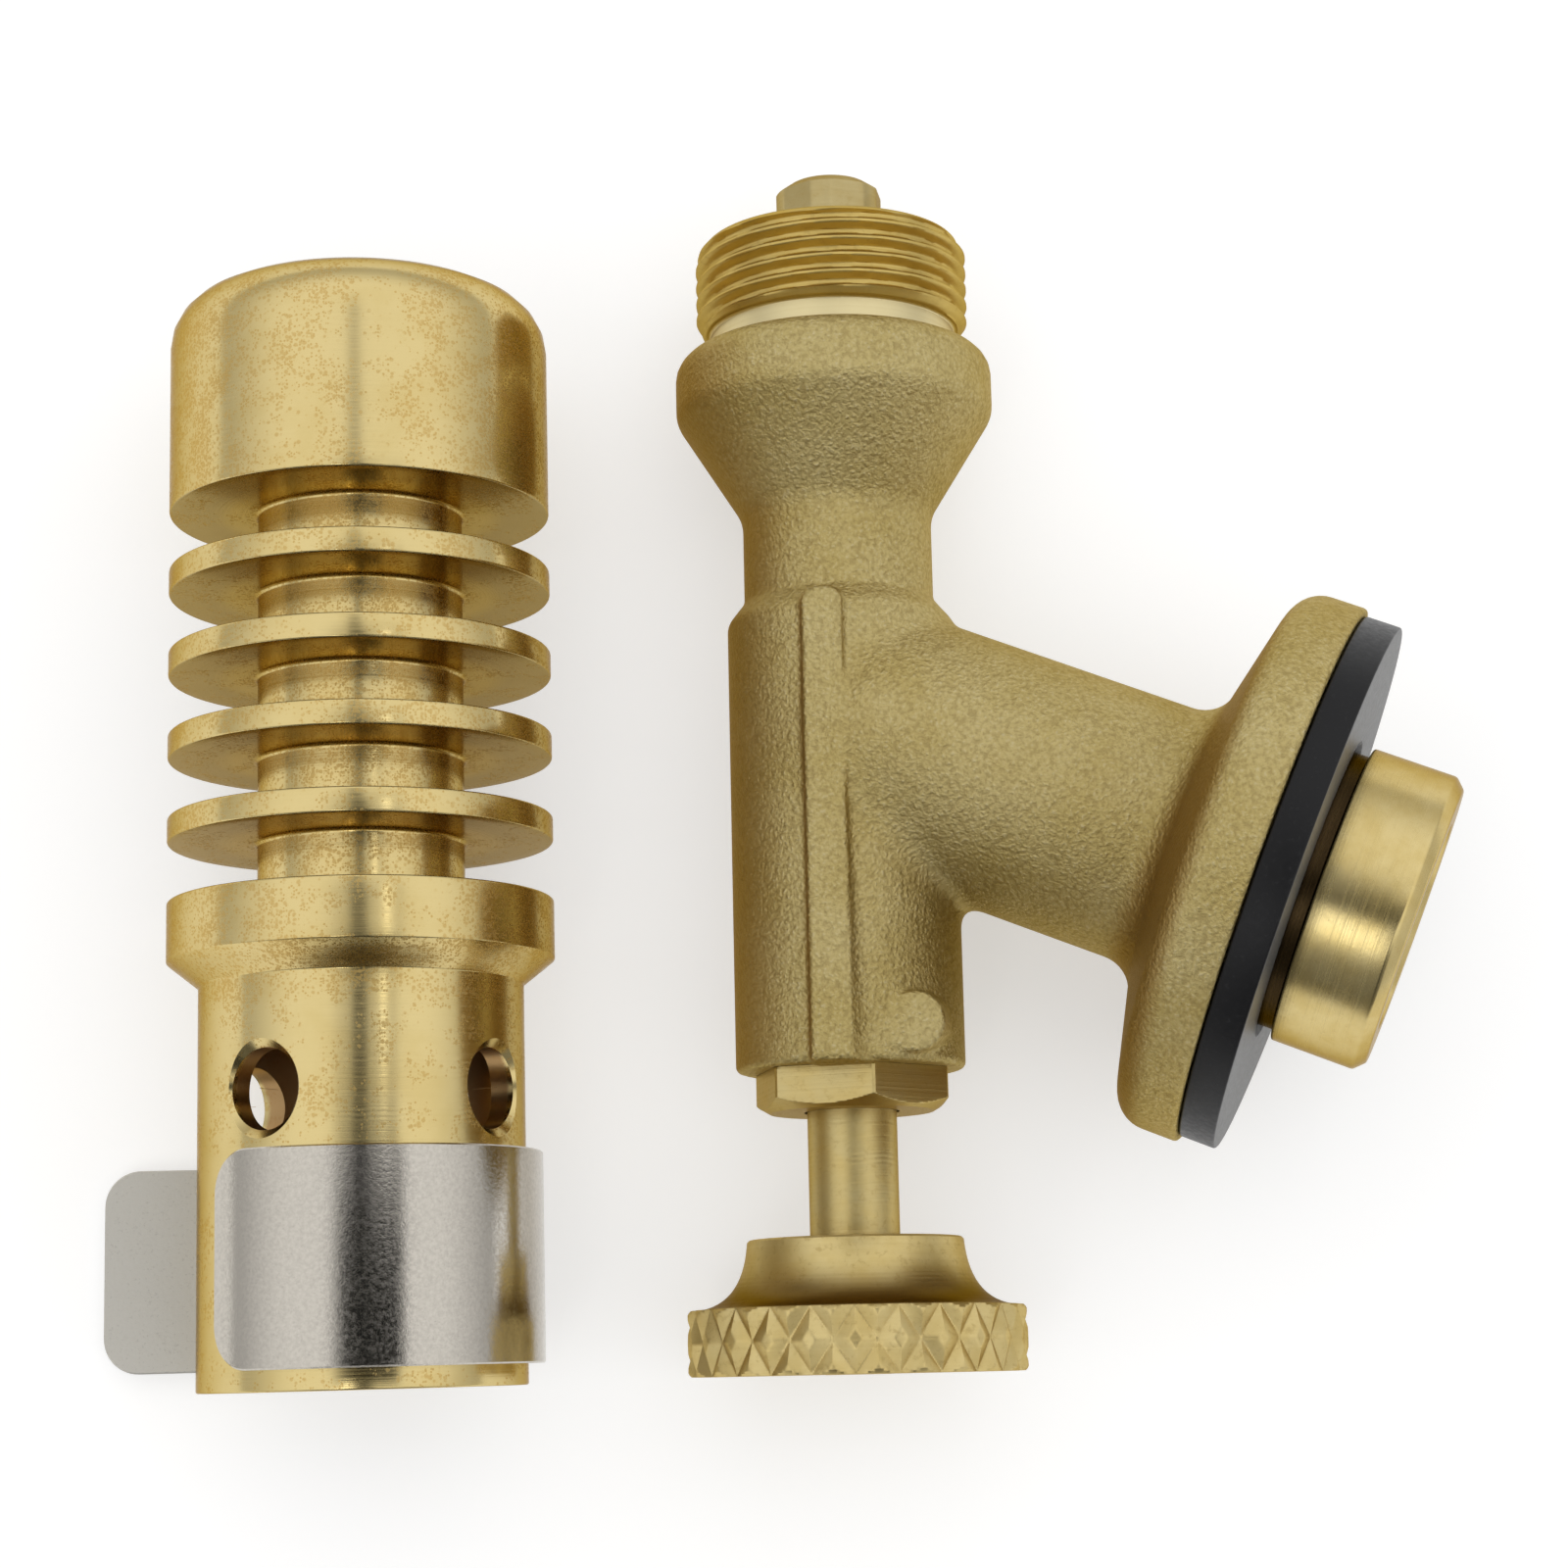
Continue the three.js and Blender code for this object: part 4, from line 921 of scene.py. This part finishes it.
# Machined front of the flange with its waist, spigot and cartridge socket
def make_spigot():
    wall, inset, sunk, face = 0.4, FLANGE_RADIUS - 1.5, FLANGE_PLACE - 0.5, FLANGE_PLACE + 0.02
    corners = [
        (INLET_RADIUS, INLET_FLOOR), (INLET_RADIUS + wall, INLET_FLOOR),
        (INLET_RADIUS + wall, SOCKET_FLOOR - wall), (SOCKET_RADIUS + wall, SOCKET_FLOOR - wall),
        (SOCKET_RADIUS + wall, sunk), (inset, sunk), (inset, face, 0.01),
        (WAIST_RADIUS, face, 0.2), (WAIST_RADIUS, SPIGOT_START, 0.1),
        (SPIGOT_RADIUS, SPIGOT_START, 0.15), (SPIGOT_RADIUS, SPIGOT_END - SPIGOT_CHAMFER, 0.35),
        (SPIGOT_RADIUS - SPIGOT_CHAMFER, SPIGOT_END, 0.3), (SOCKET_RADIUS + 0.5, SPIGOT_END, 0.1),
        (SOCKET_RADIUS - 0.05, SPIGOT_END - 0.6), (SOCKET_RADIUS - 0.05, SOCKET_FLOOR + 2.2),
        (SOCKET_RADIUS, SOCKET_FLOOR + 2.0), (SOCKET_RADIUS, SOCKET_FLOOR), (INLET_RADIUS, SOCKET_FLOOR, 0.1),
    ]
    turned("inlet_spigot", corners, ARM, "valve", SPIGOT_BRASS)


# Flange washer, its hole chamfered to pass over the spigot
def make_washer():
    low, inner, edge, chamfer = FLANGE_PLACE + 0.08, WAIST_RADIUS + WASHER_PLAY, 0.12, 0.3
    corners = [(inner, low, edge), (WASHER_RADIUS, low, edge), (WASHER_RADIUS, WASHER_TOP, edge),
               (inner + chamfer, WASHER_TOP, 0.05), (inner, WASHER_TOP - chamfer, 0.05)]
    turned("washer", corners, ARM, "valve", WASHER_RUBBER, ["flange_washer"])


# Seal ring in the inlet socket
def make_seals():
    middle, section = 3.75, 0.85
    turns = np.linspace(0, 2 * math.pi, 13)[:-1]
    ring = [(middle + section * math.cos(a), SOCKET_FLOOR + section * (1.06 + math.sin(a))) for a in turns]
    turned("inlet_ring", ring, ARM, "valve", RUBBER, ["inlet_o_ring"], sides=96, sharp=60)


# Hexagon nut: its outline is a hexagon cut by the cone of the chamfer
def make_nut():
    flats = NUT_FLATS / 2
    corner = flats / math.cos(math.pi / 6)
    turn = math.radians(NUT_TURN)

    def shape(around, radius, height):
        local = np.abs((around - turn) % (math.pi / 3) - math.pi / 6)
        hexagon = np.minimum(flats / np.cos(local), corner - 0.06)
        return np.where(radius > flats - 0.4, np.minimum(hexagon, radius), radius), height

    ring, bore, shank, seat, foot, steps = flats - 0.3, 2.7, 3.85, -0.02, 3.0, 10
    rise = (corner - ring) * math.tan(math.radians(NUT_CHAMFER))
    corners = [(bore, -NUT_HEIGHT + 0.02), (ring - 0.3, -NUT_HEIGHT), (ring, -NUT_HEIGHT)]
    for i in range(1, steps + 1):
        corners.append((ring + (corner - ring) * i / steps, -NUT_HEIGHT + rise * i / steps))
    corners += [(corner + 0.01, seat - 0.1), (corner - 0.1, seat), (shank, seat), (shank, foot), (bore, foot)]
    turned("nut", corners, VALVE, "valve", SATIN_BRASS, ["bonnet_nut"], sides=360, step=0.4,
           shape=shape, sharp=20)


# Stem with the knob's pin, the shoulder, the piston with its seal groove, and the tip that holds the pad
def make_stem():
    centre, pin, shoulder, piston, groove, neck, tip, recess = 0.01, 1.9, 3.35, 2.8, 1.85, 1.55, 2.1, 1.45
    corners = [(centre, -KNOB_FACE - 0.02), (pin, -KNOB_FACE - 0.02, 0.1), (pin, -KNOB_DISC - 0.55)]
    steps = ((-KNOB_DISC - 0.55, 9.8, STEM_RADIUS), (9.8, 12.8, shoulder), (12.8, 13.6, piston),
             (13.6, 15.3, groove), (15.3, 16.1, piston), (16.1, 20.2, neck), (20.2, 22.4, tip))
    for low, high, radius in steps:
        corners += [(radius, low), (radius, high)]
    corners += [(recess, 22.4), (recess, 21.2), (centre, 21.2)]
    turned("stem", corners, VALVE, "spindle", SATIN_BRASS, ["spindle"], sides=96)


# Diamond knurl: two families of V grooves that cross at equal slopes
def knurl_shape(around, radius, height):
    length = KNOB_FACE - KNURL_TOP
    across = around * KNURL_COUNT / (2 * math.pi)
    up = (height + KNOB_FACE) / length
    first = across + up - 0.5
    second = across - up + 0.5
    ridge = np.minimum(2 * np.abs(first - np.round(first)), 2 * np.abs(second - np.round(second)))
    wanted = KNURL_RADIUS - KNURL_DEPTH * (1 - np.clip(ridge / (1 - KNURL_FLAT), 0, 1))
    end = np.minimum(height + KNOB_FACE, -KNURL_TOP - height)
    wanted = np.minimum(wanted, KNURL_RADIUS - np.maximum(0, KNURL_CHAMFER - end))
    return np.where(radius > KNURL_RADIUS - 0.9, np.minimum(radius, wanted), radius), height


# Knob with its knurled rim, and a flare up to the small disc round the stem
def make_knob():
    flare_steps, edge, bore, lip = 14, 0.12, 2.15, 8.7
    corners = [(bore, -KNOB_FACE), (KNURL_RADIUS - 1.2, -KNOB_FACE), (KNURL_RADIUS - 0.7, -KNOB_FACE)]
    corners += [(KNURL_RADIUS, -KNOB_FACE + 0.02), (KNURL_RADIUS, -KNURL_TOP - 0.02)]
    corners += [(lip + 0.05, -KNURL_TOP)]
    start = np.array([lip, -KNURL_TOP + 0.02])
    bend = np.array([KNOB_DISC_RADIUS + 0.25, -KNURL_TOP + 0.45])
    end = np.array([KNOB_DISC_RADIUS, -KNOB_DISC - edge])
    for i in range(flare_steps + 1):
        t = i / flare_steps
        corners.append(tuple((1 - t) ** 2 * start + 2 * t * (1 - t) * bend + t * t * end))
    corners += [(KNOB_DISC_RADIUS - edge, -KNOB_DISC), (STEM_RADIUS + edge, -KNOB_DISC),
                (STEM_RADIUS + edge - 0.02, -KNOB_DISC - 0.8), (bore, -KNOB_DISC - 0.8)]
    turned("knurled_knob", corners, VALVE, "spindle", KNOB_BRASS, ["knob"],
           sides=KNURL_COUNT * 30, step=0.12, shape=knurl_shape, sharp=18)


# Materials of the CAD nodes that stay
def dress_cad():
    looks = {"jet_washer": COPPER, "jet_filter": BRONZE, "seat_pad": RUBBER, "spindle_o_ring": RUBBER,
             "packing_washer": BRIGHT_BRASS, "stem_packing": PACKING, "inlet_pin": BRIGHT_BRASS,
             "inlet_filter": GAUZE, "flame_holder": BURNER_BRASS}
    for name, material in looks.items():
        mesh = frame["nodes"][name].data
        mesh.materials.clear()
        mesh.materials.append(material)


# Camera where the photographer stood: above the burner, tilted and panned towards the valve
def make_camera():
    forward = unit((0.104134, 0.182114, -0.977748))
    right = unit(np.cross(forward, (0.008860, 0.982884, 0.184015)))
    up = np.cross(right, forward)
    camera = bpy.data.objects.new("camera", bpy.data.cameras.new("camera"))
    camera.data.sensor_width = 36.0
    camera.data.lens = 72.144
    camera.data.clip_start = 0.01
    camera.matrix_world = Matrix(frame_of(right, up, -forward, CAMERA_FOOT * MM).tolist())
    bpy.context.scene.collection.objects.link(camera)
    bpy.context.scene.camera = camera


# Part of the studio, which isn't part of the object
def stage_piece(name, verts, faces, material):
    mesh = bpy.data.meshes.new(name)
    mesh.from_pydata(verts, [], faces)
    mesh.materials.append(material)
    obj = bpy.data.objects.new(name, mesh)
    bpy.context.scene.collection.objects.link(obj)
    return obj


# White table that keeps the shadow: its lift is the same for the eye and for reflections of it
def make_table():
    t = Tree("table_white")
    diffuse = t.node("ShaderNodeBsdfDiffuse")
    diffuse.inputs["Color"].default_value = (TABLE_COLOUR, TABLE_COLOUR, TABLE_COLOUR, 1)
    path = t.node("ShaderNodeLightPath")
    seen = t.math("ADD", path.outputs["Is Camera Ray"], path.outputs["Is Glossy Ray"])
    seen = t.math("ADD", seen, path.outputs["Is Transmission Ray"], clamp=True)
    glow = t.node("ShaderNodeEmission")
    t.link(t.times(seen, TABLE_LIFT), glow.inputs["Strength"])
    both = t.node("ShaderNodeAddShader")
    t.link(diffuse.outputs[0], both.inputs[0])
    t.link(glow.outputs[0], both.inputs[1])
    t.output(both.outputs[0])
    turns = np.linspace(0, 2 * math.pi, 65)[:-1]
    rim = [(TENT_RADIUS * math.cos(a), TENT_RADIUS * math.sin(a), 0) for a in turns]
    stage_piece("table", rim, [list(range(len(rim)))], t.material)


# White tent over the table: brightest overhead, dark where the photographer stands
def make_tent():
    t = Tree("tent_white")
    x, y, z = t.parts(t.mapping("Object", (1 / TENT_RADIUS,) * 3))
    tent = t.ramp(z, 0.0, 0.75, TENT_LOW, TENT_HIGH)
    behind = t.times(t.ramp(y, -0.48, -0.72), t.ramp(t.math("ABSOLUTE", x), 0.75, 0.45))
    strength = t.times(tent, t.math("SUBTRACT", 1.0, t.times(behind, 0.8)))
    glow = t.node("ShaderNodeEmission")
    t.link(strength, glow.inputs["Strength"])
    t.output(glow.outputs[0])
    t.material.cycles.emission_sampling = "NONE"
    sides, rings = 48, 12
    verts = []
    for j in range(rings):
        rise = math.radians(90 * j / rings)
        flat, up = TENT_RADIUS * math.cos(rise), TENT_RADIUS * math.sin(rise)
        for i in range(sides):
            a = 2 * math.pi * i / sides
            verts.append([flat * math.cos(a), flat * math.sin(a), up])
    verts.append([0, 0, TENT_RADIUS])
    faces = []
    for i in range(sides):
        beside = (i + 1) % sides
        for low in range(0, (rings - 1) * sides, sides):
            faces.append((low + i, low + beside, low + sides + beside, low + sides + i))
        faces.append(((rings - 1) * sides + i, (rings - 1) * sides + beside, len(verts) - 1))
    tent = stage_piece("tent", verts, faces, t.material)
    tent.visible_camera = False
    tent.visible_shadow = False
    world = bpy.data.worlds.new("white_room")
    world.use_nodes = True
    world.node_tree.nodes["Background"].inputs["Color"].default_value = (1, 1, 1, 1)
    world.cycles.sampling_method = "NONE"
    bpy.context.scene.world = world


# Dark camera, hood and photographer overhead, which polished metal shows as a stripe
def make_camera_shade():
    (x, y), z = CAMERA_FOOT[:2] * MM, SHADE_HEIGHT
    side, back, front = 0.12, y - 0.5, y + 0.24
    left, right = x - side, x + side
    verts = [(left, back, z), (right, back, z), (right, front, z), (left, front, z)]
    t = Tree("camera_black")
    seen_x, seen_y, _ = t.parts(t.coordinates.outputs["Object"])
    across = t.math("SUBTRACT", seen_x, float(x))
    along = t.math("SUBTRACT", seen_y, float(y))
    sides = t.times(t.ramp(across, -0.08, -0.03), t.ramp(across, 0.07, 0.09, 1.0, 0.0))
    reach = t.math("MAXIMUM", t.ramp(along, 0.019, 0.031, 1.0, 0.0), t.ramp(along, 0.05, 0.1, 0.27, 0.0))
    body = t.times(t.times(sides, reach), t.ramp(along, -0.035, -0.01))
    offset = t.math("ABSOLUTE", t.math("ADD", across, t.ramp(along, 0.045, 0.08, 0.005, 0.0105)))
    taper = t.math("ADD", offset, t.times(along, 0.1))
    hood = t.times(t.ramp(taper, 0.0165, 0.0245, 1.0, 0.0), t.ramp(along, 0.03, 0.2, 0.9, 0.0))
    clear = t.node("ShaderNodeBsdfTransparent")
    black = t.node("ShaderNodeEmission", Strength=0.01)
    mix = t.node("ShaderNodeMixShader")
    t.link(t.math("MAXIMUM", body, hood), mix.inputs[0])
    t.link(clear.outputs[0], mix.inputs[1])
    t.link(black.outputs[0], mix.inputs[2])
    t.output(mix.outputs[0])
    shade = stage_piece("camera_shade", verts, [(0, 1, 2, 3)], t.material)
    shade.visible_camera = False
    shade.visible_diffuse = False


# Lamps beside the camera: a weak strip, which polished tubes show as a thin line, and one behind it
def make_lamps():
    for name, across, along, width, length, turn, strength in (
        ("strip_lamp", 0.045, 0.047, 0.012, 0.034, 0, 1.35),
        ("rear_lamp", -0.044, -0.062, 0.022, 0.085, -25, 2.6),
    ):
        lamp = bpy.data.lights.new(name, "AREA")
        lamp.shape = "RECTANGLE"
        lamp.size = width
        lamp.size_y = length
        lamp.energy = strength * math.pi * width * length
        obj = bpy.data.objects.new(name, lamp)
        obj.location = (CAMERA_FOOT[0] * MM + across, CAMERA_FOOT[1] * MM + along, LAMP_HEIGHT)
        obj.rotation_euler[2] = math.radians(turn)
        obj.visible_camera = False
        bpy.context.scene.collection.objects.link(obj)


make_camera()
make_burner()
make_clip()
make_casting()
make_head()
make_jet()
make_spigot()
make_washer()
make_seals()
make_nut()
make_stem()
make_knob()
dress_cad()
make_table()
make_tent()
make_camera_shade()
make_lamps()
bpy.context.scene.view_settings.view_transform = "Standard"
